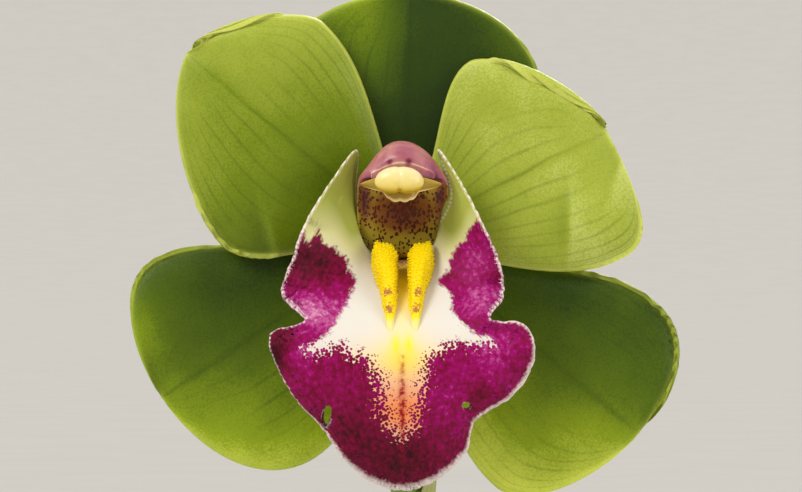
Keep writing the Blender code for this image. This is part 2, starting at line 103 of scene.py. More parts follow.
# %% [markdown]
# ## Helpers
# Colours are written as sRGB hex values, as a colour picker shows them, and turned to the linear numbers that
# shaders use. One small function adds any node, sets it and links it.

# %% Colour and node helpers


def linear(code):
    """An sRGB hex colour as linear red, green, blue and alpha."""
    parts = [int(code[i : i + 2], 16) / 255 for i in (1, 3, 5)]
    return (*[p / 12.92 if p <= 0.04045 else ((p + 0.055) / 1.055) ** 2.4 for p in parts], 1.0)


def set_inputs(node, inputs):
    """Fills sockets, by name or number, with a value, a hex colour, an output or a node's first output."""
    for socket, value in inputs.items():
        if isinstance(value, (bpy.types.Node, bpy.types.NodeSocket)):
            output = value.outputs[0] if isinstance(value, bpy.types.Node) else value
            node.id_data.links.new(output, node.inputs[socket])
        else:
            is_colour = isinstance(value, str) and value.startswith("#")
            node.inputs[socket].default_value = linear(value) if is_colour else value


def add_node(tree, kind, inputs=None, stops=None, **settings):
    """Adds a node with its settings, its inputs and the stops of its colour ramp."""
    node = tree.nodes.new(kind)
    for name, value in settings.items():
        setattr(node, name, value)
    set_inputs(node, inputs or {})
    for number, (place, colour) in enumerate(stops or ()):
        elements = node.color_ramp.elements
        element = elements[number] if number < 2 else elements.new(place)
        element.position = place
        element.color = linear(colour) if isinstance(colour, str) else (colour, colour, colour, 1)
    return node


USUAL_IOR = 1.45  # of water-filled tissue, bark and clay, unless a material says otherwise


def new_material(name, inputs):
    """A material, what adds its nodes, its shader with these inputs, and the place on the object."""
    material = bpy.data.materials.new(name)
    material.use_nodes = True
    add = functools.partial(add_node, material.node_tree)
    shader = material.node_tree.nodes["Principled BSDF"]
    set_inputs(shader, {"IOR": USUAL_IOR, **inputs})
    return material, add, shader, add("ShaderNodeTexCoord").outputs["Object"]


# %% [markdown]
# ## Meshes from grids
# Petals, leaves and the lip are thin sheets. Each is worked out as a grid of points on its middle surface and
# then given two faces and a rounded rim, thinner at the margins, as a real petal is.

# %% Mesh helpers


def unit(vectors):
    lengths = np.linalg.norm(vectors, axis=-1, keepdims=True)
    return vectors / np.maximum(lengths, 1e-9)


def way_of(degrees):
    """A direction in a plane, as its cosine and sine."""
    return np.array((math.cos(math.radians(degrees)), math.sin(math.radians(degrees))))


def run_along(points):
    """How far each point lies along the line through them all."""
    return np.concatenate([[0], np.cumsum(np.linalg.norm(np.diff(points, axis=0), axis=1))])


def smooth_rows(rows, places):
    """A smooth curve through the rows, read at places from 0 (first row) to 1 (last row)."""
    rows = np.array(rows, float)
    ends = np.vstack([2 * rows[0] - rows[1], rows, 2 * rows[-1] - rows[-2]])
    at = np.clip(np.array(places, float), 0, 1) * (len(rows) - 1)
    first = np.minimum(at.astype(int), len(rows) - 2)
    t = (at - first)[:, None]
    a, b, c, d = (ends[first + k] for k in range(4))
    return 0.5 * (2 * b + (c - a) * t + (2 * a - 5 * b + 4 * c - d) * t**2 + (3 * b - a - 3 * c + d) * t**3)


def mesh_object(name, points, faces, material, values=None, uv=None):
    """One smooth-shaded object from world points. values holds each named attribute's number per point."""
    mesh = bpy.data.meshes.new(name)
    mesh.from_pydata(np.asarray(points, float).tolist(), [], list(map(list, faces)))
    for attribute, numbers in (values or {}).items():
        made = mesh.attributes.new(attribute, "FLOAT", "POINT")
        made.data.foreach_set("value", np.asarray(numbers, np.float32).ravel())
    if uv is not None:
        layer = mesh.uv_layers.new(name="growth")
        corners = np.empty(len(mesh.loops), np.int32)
        mesh.loops.foreach_get("vertex_index", corners)
        layer.data.foreach_set("uv", np.asarray(uv, np.float32)[corners].ravel())
    mesh.materials.append(material)
    mesh.shade_smooth()
    return face_outwards(in_scene(name, mesh))


def face_outwards(obj):
    """Turns a closed mesh's faces outwards."""
    mesh = obj.data
    mesh.calc_loop_triangles()
    points = np.empty(len(mesh.vertices) * 3)
    mesh.vertices.foreach_get("co", points)
    corners = np.empty(len(mesh.loop_triangles) * 3, np.int32)
    mesh.loop_triangles.foreach_get("vertices", corners)
    triangles = points.reshape(-1, 3)[corners.reshape(-1, 3)]
    if np.einsum("ij,ij->i", triangles[:, 0], np.cross(triangles[:, 1], triangles[:, 2])).sum() < 0:
        mesh.flip_normals()
    return obj


def sheet(grid, thickness, opening=None, normals=None):
    """Points and faces of a closed sheet round a grid: a front, a back and a rim row between them.

    opening marks the grid's cells that are left out, as a hole through the sheet with its own wall.
    """
    rows, columns, _ = grid.shape
    if normals is None:
        normals = unit(np.cross(np.gradient(grid, axis=0), np.gradient(grid, axis=1)))
    across = np.abs(np.linspace(-1, 1, columns))[None, :, None]
    half = 0.5 * thickness * (1 - 0.55 * across**6)
    front = np.arange(rows * columns).reshape(rows, columns)
    back = front + rows * columns
    rim = [(i, 0) for i in range(rows)] + [(rows - 1, j) for j in range(1, columns)]
    rim += [(i, columns - 1) for i in range(rows - 2, -1, -1)] + [(0, j) for j in range(columns - 2, 0, -1)]
    rim = np.array(rim)
    inside = np.clip(rim, [1, 1], [rows - 2, columns - 2])
    way = unit(grid[rim[:, 0], rim[:, 1]] - grid[inside[:, 0], inside[:, 1]])
    edge = grid[rim[:, 0], rim[:, 1]] + way * thickness * 0.2
    points = np.concatenate(
        [(grid + half * normals).reshape(-1, 3), (grid - half * normals).reshape(-1, 3), edge]
    )
    keep = np.ones((rows - 1, columns - 1), bool) if opening is None else ~opening
    quads = [
        np.stack([front[:-1, :-1], front[1:, :-1], front[1:, 1:], front[:-1, 1:]], -1)[keep],
        np.stack([back[:-1, :-1], back[:-1, 1:], back[1:, 1:], back[1:, :-1]], -1)[keep],
    ]
    walls = []
    for i, j in np.argwhere(~keep):
        around = ((0, 0, 0, -1), (1, 0, 1, 0), (1, 1, 0, 1), (0, 1, -1, 0))
        for (a, b, next_i, next_j), (c, d, _, _) in zip(around, around[1:] + around[:1]):
            if keep[i + next_i, j + next_j]:
                start, end = front[i + a, j + b], front[i + c, j + d]
                walls.append((start, end, end + rows * columns, start + rows * columns))
    if walls:
        quads.append(np.array(walls))
    number = 2 * rows * columns + np.arange(len(rim))
    after = np.roll(number, -1)
    f, b = front[rim[:, 0], rim[:, 1]], back[rim[:, 0], rim[:, 1]]
    f2, b2 = np.roll(f, -1), np.roll(b, -1)
    quads.append(np.stack([f, number, after, f2], -1))
    quads.append(np.stack([number, b, b2, after], -1))
    return points, np.concatenate(quads), rim


def on_sheet(values, rim):
    """A number per grid point, laid out for the points that sheet() makes."""
    values = np.asarray(values, float)
    return np.concatenate([values.ravel(), values.ravel(), values[rim[:, 0], rim[:, 1]]])


def sheet_object(name, grid, thickness, material, values, opening=None, normals=None):
    """A closed sheet with its grid places as the UV map growth: u across, v along."""
    rows, columns, _ = grid.shape
    points, faces, rim = sheet(grid, thickness, opening, normals)
    along, across = np.meshgrid(np.linspace(0, 1, rows), np.linspace(0, 1, columns), indexing="ij")
    back = np.concatenate([np.zeros(rows * columns), np.ones(rows * columns), np.full(len(rim), 0.5)])
    laid = {key: on_sheet(numbers, rim) for key, numbers in values.items()}
    uv = np.stack([on_sheet(across, rim), on_sheet(along, rim)], -1)
    return mesh_object(name, points, faces, material, {**laid, "back": back}, uv)


def tube(rings):
    """Points and faces of a closed body through rings of points, with a middle point at each end."""
    rings = np.asarray(rings, float)
    count, sides, _ = rings.shape
    number = np.arange(count * sides).reshape(count, sides)
    turned = np.roll(number, -1, axis=1)
    quads = np.stack([number[:-1], number[1:], turned[1:], turned[:-1]], -1).reshape(-1, 4).tolist()
    first, last = count * sides, count * sides + 1
    quads += [[first, int(a), int(b)] for a, b in zip(number[0], turned[0])]
    quads += [[last, int(b), int(a)] for a, b in zip(number[-1], turned[-1])]
    points = np.concatenate([rings.reshape(-1, 3), rings[:1].mean(axis=1), rings[-1:].mean(axis=1)])
    return points, quads


def rings_along(path, radii, sides):
    """Round rings square to a path that stays square to X."""
    path = np.array(path, float)
    ways = unit(np.gradient(path, axis=0))
    first = unit(np.cross(ways, (1.0, 0.0, 0.0)))
    second = np.cross(ways, first)
    turn = np.linspace(0, 2 * math.pi, sides, endpoint=False)
    round_way = np.cos(turn)[None, :, None] * first[:, None] + np.sin(turn)[None, :, None] * second[:, None]
    return path[:, None] + np.array(radii)[:, None, None] * round_way


def tube_object(name, rings, material, values=None):
    """A closed tube. Its UV map growth holds the way round as u and the way along as v."""
    count, sides = np.asarray(rings).shape[:2]
    points, faces = tube(rings)
    along, turn = np.meshgrid(
        np.linspace(0, 1, count), np.linspace(0, 1, sides, endpoint=False), indexing="ij"
    )
    uv = np.concatenate([np.stack([turn.ravel(), along.ravel()], -1), [[0.5, 0], [0.5, 1]]])
    laid = {}
    for key, numbers in (values or {}).items():
        numbers = np.asarray(numbers, float)
        laid[key] = np.concatenate([numbers.ravel(), [numbers[0].mean(), numbers[-1].mean()]])
    return mesh_object(name, points, faces, material, laid, uv)


def fit_in(obj, node):
    """The piece rides with the plant's root body, and the CAD node that it replaces is hidden."""
    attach(obj, "root")
    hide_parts(node)
    print(obj.name, len(obj.data.polygons), "faces")
    return obj


print("helpers ready")

# %% [markdown]
# ## The green tepals
# An orchid has three sepals behind and two petals in front of them. Here all five are broad, waxy and
# yellow-green, with veins that fan out from the throat. A sheet grown from two half-width curves gives each
# its own lopsided outline, and small terms bend it: a cup, an arch, a roll at the margin and a wave.

# %% Tepal shapes
THROAT_RADIUS = 3.6
TEPAL_FOOT = 3.4
TEPAL_THICKNESS = 1.1
MARGIN_POINTS = 260
POINTS_AT_ONCE = 4000
# way it points, length, foot out, tilt, left side, right side (width, widest place, roundness, growth),
# cup, arch, roll, wave
TEPALS = {
    "dorsal_sepal": (88, 41.8, 0.8, 3, (23.4, 0.58, 2.0, 1.4), (22.8, 0.60, 2.0, 1.4), 1.6, 1.0, 0.8, 0.4),
    "petal_left": (140, 48.4, 2.6, 9, (21.0, 0.46, 1.5, 1.7), (19.0, 0.71, 1.5, 1.6), 1.2, 2.0, 2.4, 0.8),
    "petal_right": (27, 39.4, 2.6, 9, (21.2, 0.61, 1.5, 2.4), (20.4, 0.79, 3.0, 1.3), 1.2, 2.0, 2.4, 0.8),
    "lateral_sepal_left": (
        214, 50.2, 0.8, 4, (23.2, 0.67, 2.1, 1.5), (20.2, 0.77, 2.0, 2.5), 2.0, 1.0, 1.6, 0.6
    ),
    "lateral_sepal_right": (
        -40, 53.2, 0.8, 4, (18.8, 0.76, 2.3, 2.3), (22.8, 0.76, 1.8, 1.6), 2.0, 1.0, 1.6, 0.6
    ),
}


def spot(x, y, at, size):
    """A soft oval spot: 1 at its middle, 0 far off."""
    return np.exp(-(((x - at[0]) / size[0]) ** 2) - ((y - at[1]) / size[1]) ** 2)


def side_width(side, share):
    """Half width of one side of a tepal, in millimetres, at a share of its length."""
    width, widest, roundness, growth = side
    rising = TEPAL_FOOT + (width - TEPAL_FOOT) * np.sin(np.pi / 2 * np.minimum(share / widest, 1)) ** growth
    past = np.clip((share - widest) / (1 - widest), 0, 1)
    return np.where(share < widest, rising, width * (1 - past**roundness) ** (1 / roundness))


def tepal_grid(shape, rows=120, columns=101):
    """The middle surface of a tepal in bloom millimetres, with how far along and across each point is."""
    way, length, foot_out, tilt, left, right, cup, arch, roll, wave = shape
    along_way = way_of(way)
    left_way = np.array((-along_way[1], along_way[0]))
    first = THROAT_RADIUS / length
    step = np.linspace(0, 1, rows)
    share = (first + (0.9985 - first) * np.sin(np.pi / 2 * step) ** 1.1)[:, None]
    v = np.sin(np.pi / 2 * (1 - 2 * np.linspace(0, 1, columns)))[None, :]
    across = v * np.where(v > 0, side_width(left, share), side_width(right, share))
    out = foot_out + share * length * math.tan(math.radians(tilt)) + arch * np.sin(np.pi * share)
    out = out + cup * v * v * share - roll * (np.abs(v) ** 6 * np.minimum(1, 2 * share) + 0.8 * share**10)
    out = out + wave * np.sin(9 * share + 2 * v) * np.abs(v) ** 3 * share
    grid = np.empty((rows, columns, 3))
    grid[..., :2] = (share * length)[..., None] * along_way + across[..., None] * left_way
    grid[..., 2] = out
    return grid, np.broadcast_to(share, out.shape), np.broadcast_to(v, out.shape)


def margin_of(grid):
    """The free margin, from the left foot round the tip to the right foot, and its outward direction."""
    margin = np.concatenate([grid[:, 0], grid[-1, 1:-1], grid[::-1, -1]])
    run = run_along(margin[:, :2])
    even = np.linspace(0, run[-1], MARGIN_POINTS)
    margin = np.stack([np.interp(even, run, margin[:, k]) for k in range(3)], axis=-1)
    ways = np.gradient(margin[:, :2], axis=0)
    ways = np.stack(
        [np.convolve(np.pad(ways[:, k], 4, mode="edge"), np.ones(9) / 9, "valid") for k in (0, 1)], -1
    )
    return margin, unit(np.stack([-ways[:, 1], ways[:, 0]], axis=-1))


def to_margin(grid, margin):
    """Each point's distance from the margin and the number of the margin point next to it."""
    flat = grid[..., :2].reshape(-1, 2)
    nearest = np.empty(len(flat), int)
    distance = np.empty(len(flat))
    for start in range(0, len(flat), POINTS_AT_ONCE):
        some = slice(start, start + POINTS_AT_ONCE)
        part = np.linalg.norm(flat[some, None] - margin[None, :, :2], axis=-1)
        nearest[some] = part.argmin(axis=1)
        distance[some] = part.min(axis=1)
    return distance.reshape(grid.shape[:2]), nearest.reshape(grid.shape[:2])


def fold_margin(grid, folds, tilt, radius=0.9):
    """Rolls stretches of the margin forward over the face. Each fold is (start, end, width past the roll).

    It also gives each point's distance from the margin and the way that its front face looks.
    """
    margin, outward_way = margin_of(grid)
    distance, nearest = to_margin(grid, margin)
    place = np.linspace(0, 1, len(margin))
    width = np.zeros(len(margin))
    for start, end, extra in folds:
        inside = np.clip((place - start) / (end - start), 0, 1)
        width = np.maximum(width, extra * np.sin(np.pi * inside) ** 0.6)
    extra = width[nearest]
    past = np.maximum(radius - distance, 0) * (radius + extra) / radius
    angle = np.minimum(past / radius, np.pi)
    depth = radius - radius * np.sin(angle) + np.maximum(past - np.pi * radius, 0)
    amount = np.clip(extra / 0.8, 0, 1) * (distance < radius)
    grid = grid.copy()
    grid[..., :2] += (amount * (distance - depth))[..., None] * outward_way[nearest]
    grid[..., 2] += amount * radius * (1 - np.cos(angle))
    turned = (amount * angle)[..., None]
    looks = np.concatenate([-np.sin(turned) * outward_way[nearest] - 0.5 * tilt, np.cos(turned)], axis=-1)
    return grid, distance, unit(looks)


print("tepals:", ", ".join(TEPALS))

# %% [markdown]
# ## Living petal skin
# A petal is thin, water-filled tissue under a waxy skin. Light enters it, scatters and comes out a little way
# off, so the material has some subsurface light. Veins run along the growth lines, which the sheet's UV map
# gives, and the skin's cells glisten as a fine grain. Each tepal's lighter and darker parts, partly its own
# green and partly painted light and shade, come from a number on its points, named tone, that one colour ramp
# reads.

# %% Tepal materials
SKIN_GRAIN = 0.36 * MM
VEIN_COUNT = 19


def petal_skin(name, shades, vein_colour, margin_colour):
    """Waxy petal tissue: translucent, softly glossy, with veins, a grain and a pale margin."""
    material, add, shader, place = new_material(
        name,
        {
            "Roughness": 0.42, "IOR": 1.42, "Specular IOR Level": 0.22, "Subsurface Weight": 0.22,
            "Subsurface Scale": 1.2 * MM, "Subsurface Radius": (0.9, 1.0, 0.25)
        }
    )
    growth = add("ShaderNodeUVMap", uv_map="growth").outputs[0]
    tone = add("ShaderNodeAttribute", attribute_name="tone").outputs["Fac"]
    cloud = add("ShaderNodeTexNoise", {"Vector": place, "Scale": 110.0, "Detail": 3.0})
    drift = add("ShaderNodeMath", {0: cloud, 1: 0.22, 2: -0.11}, operation="MULTIPLY_ADD")
    cells = add("ShaderNodeTexVoronoi", {"Vector": place, "Scale": 1 / SKIN_GRAIN})
    glint = add(
        "ShaderNodeMath", {0: cells.outputs["Distance"], 1: -0.10, 2: 0.045}, operation="MULTIPLY_ADD"
    )
    shifted = add("ShaderNodeMath", {0: tone, 1: drift}, operation="ADD")
    shifted = add("ShaderNodeMath", {0: shifted, 1: glint}, operation="ADD")
    skin = add("ShaderNodeValToRGB", {0: shifted}, stops=shades)
    across = add("ShaderNodeSeparateXYZ", {0: growth}).outputs[0]
    stretched = add("ShaderNodeMapping", {0: growth, 3: (7.0, 2.2, 1.0)})
    wander = add("ShaderNodeTexNoise", {"Vector": stretched, "Scale": 1.0, "Detail": 2.0})
    turns = add("ShaderNodeMath", {0: across, 1: VEIN_COUNT * 2 * math.pi, 2: 0.0}, operation="MULTIPLY_ADD")
    bend = add("ShaderNodeMath", {0: wander, 1: 9.0, 2: turns}, operation="MULTIPLY_ADD")
    wave = add("ShaderNodeMath", {0: bend}, operation="SINE")
    vein = add("ShaderNodeValToRGB", {0: wave}, stops=((0.7, 0.0), (1.0, 1.0)))
    patchy = add("ShaderNodeTexNoise", {"Vector": place, "Scale": 60.0, "Detail": 1.0})
    strength = add("ShaderNodeValToRGB", {0: patchy}, stops=((0.4, 0.0), (0.7, 0.34)))
    amount = add("ShaderNodeMath", {0: vein, 1: strength}, operation="MULTIPLY")
    veined = add("ShaderNodeMix", {0: amount, 6: skin, 7: vein_colour}, data_type="RGBA")
    rim = add("ShaderNodeAttribute", attribute_name="rim").outputs["Fac"]
    near_rim = add("ShaderNodeValToRGB", {0: rim}, stops=((0.0, 0.6), (1.0, 0.0), (0.45, 0.12)))
    edged = add("ShaderNodeMix", {0: near_rim, 6: veined.outputs[2], 7: margin_colour}, data_type="RGBA")
    gloss = add("ShaderNodeValToRGB", {0: cells.outputs["Distance"]}, stops=((0.0, 0.33), (0.8, 0.5)))
    ridges = add("ShaderNodeMath", {0: amount, 1: -1.6, 2: cells.outputs["Distance"]})
    ridges.operation = "MULTIPLY_ADD"
    relief = add("ShaderNodeBump", {"Strength": 0.35, "Distance": 0.07 * MM, "Height": ridges}, invert=True)
    set_inputs(shader, {"Base Color": edged.outputs[2], "Roughness": gloss, "Normal": relief})
    return material


PETAL_SHADES = ((0.0, "#101e00"), (1.0, "#c6cc7c"), (0.3, "#3a5002"), (0.55, "#66770a"), (0.78, "#919c34"))
SEPAL_SHADES = ((0.0, "#0d1900"), (1.0, "#bcc648"), (0.3, "#243800"), (0.55, "#4c6002"), (0.78, "#7c8f0e"))
petal_green = petal_skin("waxy_petal_skin", PETAL_SHADES, "#3a5000", "#c9cc62")
sepal_green = petal_skin("waxy_sepal_skin", SEPAL_SHADES, "#243800", "#a9b440")

# %% [markdown]
# ## Five tepals
# Each tepal gets its sheet, a rolled margin where the real one turns over, and its tone: darker green by the
# midline, with painted light and shade over it: lighter to one side, patches of light and shade, and pleats
# lit on one side.

# %% Build the tepals
# middle tone (own green with painted shade), gain at the margins, painted-light gain towards the left side,
# painted-light gain towards the tip; folds along the margin
TEPAL_TONES_SHADING_AND_FOLDS = {
    "dorsal_sepal": (0.26, 0.26, 0.06, 0.04, ((0.66, 0.90, 0.5),)),
    "petal_left": (0.53, 0.08, -0.05, 0.20, ((0.515, 0.66, 1.9), (0.12, 0.30, 1.4))),
    "petal_right": (0.75, 0.04, 0.00, 0.03, ((0.27, 0.485, 3.2), (0.60, 0.80, 0.6))),
    "lateral_sepal_left": (0.43, 0.12, 0.20, 0.22, ((0.62, 0.80, 0.8),)),
    "lateral_sepal_right": (0.51, 0.14, -0.30, 0.08, ((0.16, 0.47, 1.5),)),
}
# painted light and shade, lighter and darker places: (sideways, up) of the middle, (half width, half height),
# gain
PAINTED_LIGHT_AND_SHADE_PATCHES = {
    "dorsal_sepal": (((-6.0, 34.0), (7.0, 12.0), 0.22), ((3.8, 24.0), (5.0, 14.0), -0.06)),
    "petal_left": (((-35.2, 27.2), (4.0, 3.0), -0.08), ((-12.0, 14.0), (5.0, 6.0), -0.05)),
    "petal_right": (((22.0, 14.0), (8.0, 8.0), 0.05), ((11.0, 6.0), (5.0, 8.0), -0.06)),
    "lateral_sepal_left": (((-45.0, -17.0), (4.0, 7.0), 0.16), ((-31.0, -10.0), (9.0, 4.0), -0.05)),
    "lateral_sepal_right": (((33.0, -34.0), (9.0, 6.0), 0.14), ((27.0, -11.0), (9.0, 4.0), -0.04)),
}
# soft steps across a tepal, where it is pleated, with painted light and shade on their two sides: (sideways,
# up) of the middle, way it runs, length, height
SHADED_PLEATS = {
    "petal_left": (((-22.6, -1.5), 286, 7.0, 1.5),),
    "petal_right": (((28.3, 1.6), 268, 6.0, 1.6), ((37.5, 12.0), 250, 7.0, 0.8)),
}
for name, shape in TEPALS.items():
    middle_tone_and_shade, margin_gain, left_light_gain, tip_light_gain, folds = TEPAL_TONES_SHADING_AND_FOLDS[name]
    grid, share, v = tepal_grid(shape)
    # painted light and shade: the middle tone, the side gain, the tip gain and the patches stand partly for
    # how light falls on each tepal
    tone = middle_tone_and_shade + margin_gain * v * v + left_light_gain * v + tip_light_gain * (2 * share - 1)
    tone = tone - 0.06 * np.exp(-((v / 0.03) ** 2))
    for at, size, gain in PAINTED_LIGHT_AND_SHADE_PATCHES[name]:
        tone = tone + gain * spot(grid[..., 0], grid[..., 1], at, size)
    for (px, pu), way, length, height in SHADED_PLEATS.get(name, ()):
        run = way_of(way)
        along = ((grid[..., 0] - px) * run[0] + (grid[..., 1] - pu) * run[1]) / length
        beside = (grid[..., 1] - pu) * run[0] - (grid[..., 0] - px) * run[1]
        step = height * np.exp(-(along**2)) * np.exp(-np.abs(beside) / 5.0)
        grid[..., 2] += step * (0.5 + 0.5 * np.tanh(beside / 0.6))
        # painted light and shade along the pleat: the tone is lighter on one side of the step and darker on
        # the other
        tone = tone + 0.10 * np.exp(-(along**2)) * np.tanh(beside / 0.7) * np.exp(-np.abs(beside) / 4.0)
    tilt = math.tan(math.radians(shape[3])) * way_of(shape[0])
    grid, margin_distance, looks = fold_margin(grid, folds, tilt)
    green = petal_green if name.startswith("petal") else sepal_green
    marks = {"tone": tone, "rim": np.minimum(margin_distance / 1.1, 1)}
    front = np.stack([looks[..., 0], -looks[..., 2], looks[..., 1]], axis=-1)
    tepal = sheet_object(f"{name}_tissue", in_world(grid), TEPAL_THICKNESS * MM, green, marks, normals=front)
    fit_in(tepal, name)

# %% [markdown]
# ## The lip
# The lip is the third petal, made into a landing place for bees. Two side lobes stand up beside the column,
# two yellow keels run down the middle, and the broad front lobe turns down. It is one surface, so it is made
# as one: each row gives the middle and both margins, and a smooth curve joins them through the trough.

# %% Lip shape
# (middle: up, out), (left margin: sideways, up, out), (right margin: sideways, up, out)
LIP_ROWS = (
    ((-4.3, 4.6), (-4.6, -1.5, 5.4), (4.6, -1.5, 5.4)),
    ((-5.0, 7.5), (-8.0, 6.0, 9.5), (8.5, 6.5, 9.5)),
    ((-6.0, 10.5), (-7.8, 14.3, 14.5), (6.0, 14.4, 14.5)),
    ((-7.2, 14.0), (-12.0, 9.2, 17.5), (9.4, 9.6, 17.5)),
    ((-8.8, 17.5), (-16.4, 2.0, 20.0), (13.0, 2.8, 20.0)),
    ((-10.5, 20.5), (-18.6, -4.2, 22.0), (16.0, -4.0, 22.0)),
    ((-12.4, 23.0), (-20.2, -9.8, 23.5), (16.8, -9.8, 23.5)),
    ((-14.8, 25.0), (-16.4, -14.4, 25.0), (14.6, -14.2, 25.0)),
    ((-18.2, 26.5), (-22.0, -16.6, 25.0), (20.4, -15.2, 25.0)),
    ((-22.6, 27.0), (-21.4, -21.0, 24.0), (22.0, -20.2, 24.0)),
    ((-27.6, 26.3), (-18.0, -27.4, 22.5), (19.0, -26.2, 22.5)),
    ((-33.0, 24.5), (-13.6, -32.2, 21.0), (12.2, -30.6, 21.0)),
    ((-37.8, 22.0), (-9.8, -37.8, 20.0), (10.6, -36.2, 20.0)),
    ((-41.2, 19.5), (-5.6, -41.4, 18.6), (6.2, -40.8, 18.6)),
    ((-43.0, 18.0), (-1.4, -43.0, 17.9), (1.4, -43.0, 17.9)),
)
LIP_THICKNESS = 0.9
THROAT_WIDTH = 10.2
# place along the margin (0 foot, 1 tip) where the ruffles begin
RUFFLE_START = 0.30


def lip_grid(rows=230, columns=171):
    """The lip's middle surface in bloom millimetres, with ruffled margins."""
    places = np.linspace(0, 1, rows)
    middle = smooth_rows([(0.0, *row[0]) for row in LIP_ROWS], places)
    grid = np.empty((rows, columns, 3))
    throat = THROAT_WIDTH * np.exp(-(((places - 0.12) / 0.09) ** 2))
    for number, sign in ((1, 1), (2, -1)):
        edge = smooth_rows([row[number] for row in LIP_ROWS], places)
        side = edge[0, 0] / abs(edge[0, 0])
        waist = side * np.maximum(np.abs(edge[:, 0]), throat)
        low = middle.copy()
        low[:, 0] = (0.72 + 0.24 * throat / THROAT_WIDTH) * waist
        high = middle + 0.5 * (edge - middle)
        high[:, 0] = (1 + 0.15 * throat / THROAT_WIDTH) * waist
        for j in range(columns):
            t = sign * (1 - 2 * j / (columns - 1))
            if t >= 0:
                inner = (1 - t) ** 3 * middle + 3 * (1 - t) ** 2 * t * low
                outer = 3 * (1 - t) * t * t * high + t**3 * edge
                grid[:, j] = inner + outer
    return grid


def ruffle(grid):
    """Waves and small scallops along the free margin, growing from nothing a few millimetres inside it."""
    margin, outward_way = margin_of(grid)
    distance, nearest = to_margin(grid, margin)
    run = run_along(margin)
    place = np.linspace(-1, 1, len(margin))
    strength = np.clip((1 - np.abs(place) - RUFFLE_START * 0.5) / 0.3, 0, 1)
    scallop = 0.07 * np.sin(2.3 * run + 3 * np.sin(0.37 * run)) + 0.06 * np.sin(
        6.1 * run + 2 * np.sin(0.9 * run)
    )
    wave = 0.6 * np.sin(0.62 * run + 1.1 * np.sin(0.21 * run)) + 0.25 * np.sin(1.7 * run + np.sin(0.4 * run))
    near = np.exp(-((distance / 1.1) ** 2))
    wide = np.exp(-((distance / 3.2) ** 2))
    grid = grid.copy()
    grid[..., :2] += (near * (strength * scallop)[nearest])[..., None] * outward_way[nearest]
    grid[..., 2] += wide * (strength * wave)[nearest]
    return grid, distance


lip_shape, lip_margin_distance = ruffle(lip_grid())
print("lip reaches", round(float(lip_shape[..., 2].max()), 1), "mm in front of the bloom's centre")

# %% [markdown]
# ## Where the lip's colours are
# The magenta sits in the skin in patches with ragged edges. One closed outline gives the part left white, and
# every point of the lip is given its distance from it. The material then frays that edge with noise, so the
# mesh needn't be as fine as the pattern. Yellow, peach and dark parts are soft spots laid down the same way.

# %% Pigment map of the lip
WHITE_PART = (
    (-30, 22), (-17.2, 1.6), (-16.2, -1.6), (-14.4, 1.4), (-13.4, -1.6), (-11.6, -2.2),
    (-9.6, -4.4), (-8.9, -6.4), (-7.6, -7.9), (-8.6, -10.2), (-10.0, -13.2), (-12.0, -16.4),
    (-15.6, -18.9), (-13.4, -19.2), (-11.6, -18.0), (-9.8, -17.8), (-8.4, -19.6), (-6.9, -18.8),
    (-5.2, -20.2), (-4.4, -22.2), (-3.2, -23.6), (-2.4, -27.4), (-1.4, -31.0), (0.0, -33.0),
    (1.2, -31.0), (2.1, -27.4), (2.8, -23.8), (3.6, -20.9), (5.0, -19.5), (7.0, -18.0),
    (9.2, -17.6), (12.0, -17.7), (14.6, -17.6), (12.2, -16.8), (9.8, -15.2), (8.2, -13.0),
    (7.9, -10.2), (6.6, -9.1), (6.0, -8.0), (7.7, -6.0), (8.6, -2.8), (10.6, -0.6), (11.6, 1.6),
    (12.9, 2.8), (14.0, 1.2), (30, 22),
)  # fmt: skip


def distance_inside(x, y, outline):
    """Signed distance in millimetres to a closed outline, positive inside it."""
    inside = np.zeros(x.shape, bool)
    nearest = np.full(x.shape, 1e9)
    for (ax, ay), (bx, by) in zip(outline, outline[1:] + outline[:1]):
        along = np.clip(
            ((x - ax) * (bx - ax) + (y - ay) * (by - ay)) / ((bx - ax) ** 2 + (by - ay) ** 2), 0, 1
        )
        nearest = np.minimum(nearest, np.hypot(x - ax - along * (bx - ax), y - ay - along * (by - ay)))
        crosses = (ay > y) != (by > y)
        inside ^= crosses & (x < ax + (y - ay) * (bx - ax) / np.where(by == ay, 1e-9, by - ay))
    return np.where(inside, nearest, -nearest)


x, up = lip_shape[..., 0], lip_shape[..., 1]
pigment = -distance_inside(x, up, WHITE_PART)
# darker and paler places of the magenta, partly the pigment's own and partly painted shade, as on the left
# side lobe: (sideways, up), (half width, half height), gain
MAGENTA_TONES_AND_SHADE = (
    ((-15.0, -4.5), (4.5, 4.5), -0.28),
    ((-16.5, -12.0), (5.0, 3.2), 0.36),
    ((-9.8, -13.5), (2.2, 4.5), 0.16),
    ((-13.8, -14.6), (3.2, 2.4), 0.26),
    ((12.5, -3.5), (3.5, 4.0), 0.18),
    ((13.6, -11.5), (5.0, 3.4), 0.30),
    ((17.0, -17.5), (3.5, 2.2), 0.14),
    ((-21.0, -20.0), (2.6, 4.0), -0.36),
    ((-17.6, -19.6), (2.6, 1.6), 0.28),
    ((-17.0, -22.5), (3.2, 2.6), 0.10),
    ((14.5, -20.5), (3.6, 2.6), 0.22),
    ((17.8, -24.5), (3.0, 2.0), 0.06),
    ((0.0, -38.0), (7.0, 4.5), -0.30),
    ((-8.5, -33.5), (4.5, 4.0), -0.20),
    ((12.5, -27.0), (1.8, 2.4), -0.18),
    ((8.0, -27.0), (5.0, 6.0), 0.12),
)
magenta_tone_and_shade = 0.46 + sum(gain * spot(x, up, at, size) for at, size, gain in MAGENTA_TONES_AND_SHADE)
yellow = 0.45 * spot(x, up, (0.0, -21.6), (4.2, 4.4)) + 0.5 * spot(
    np.abs(x + 0.1), up, (1.1, -18.2), (0.8, 1.6)
)
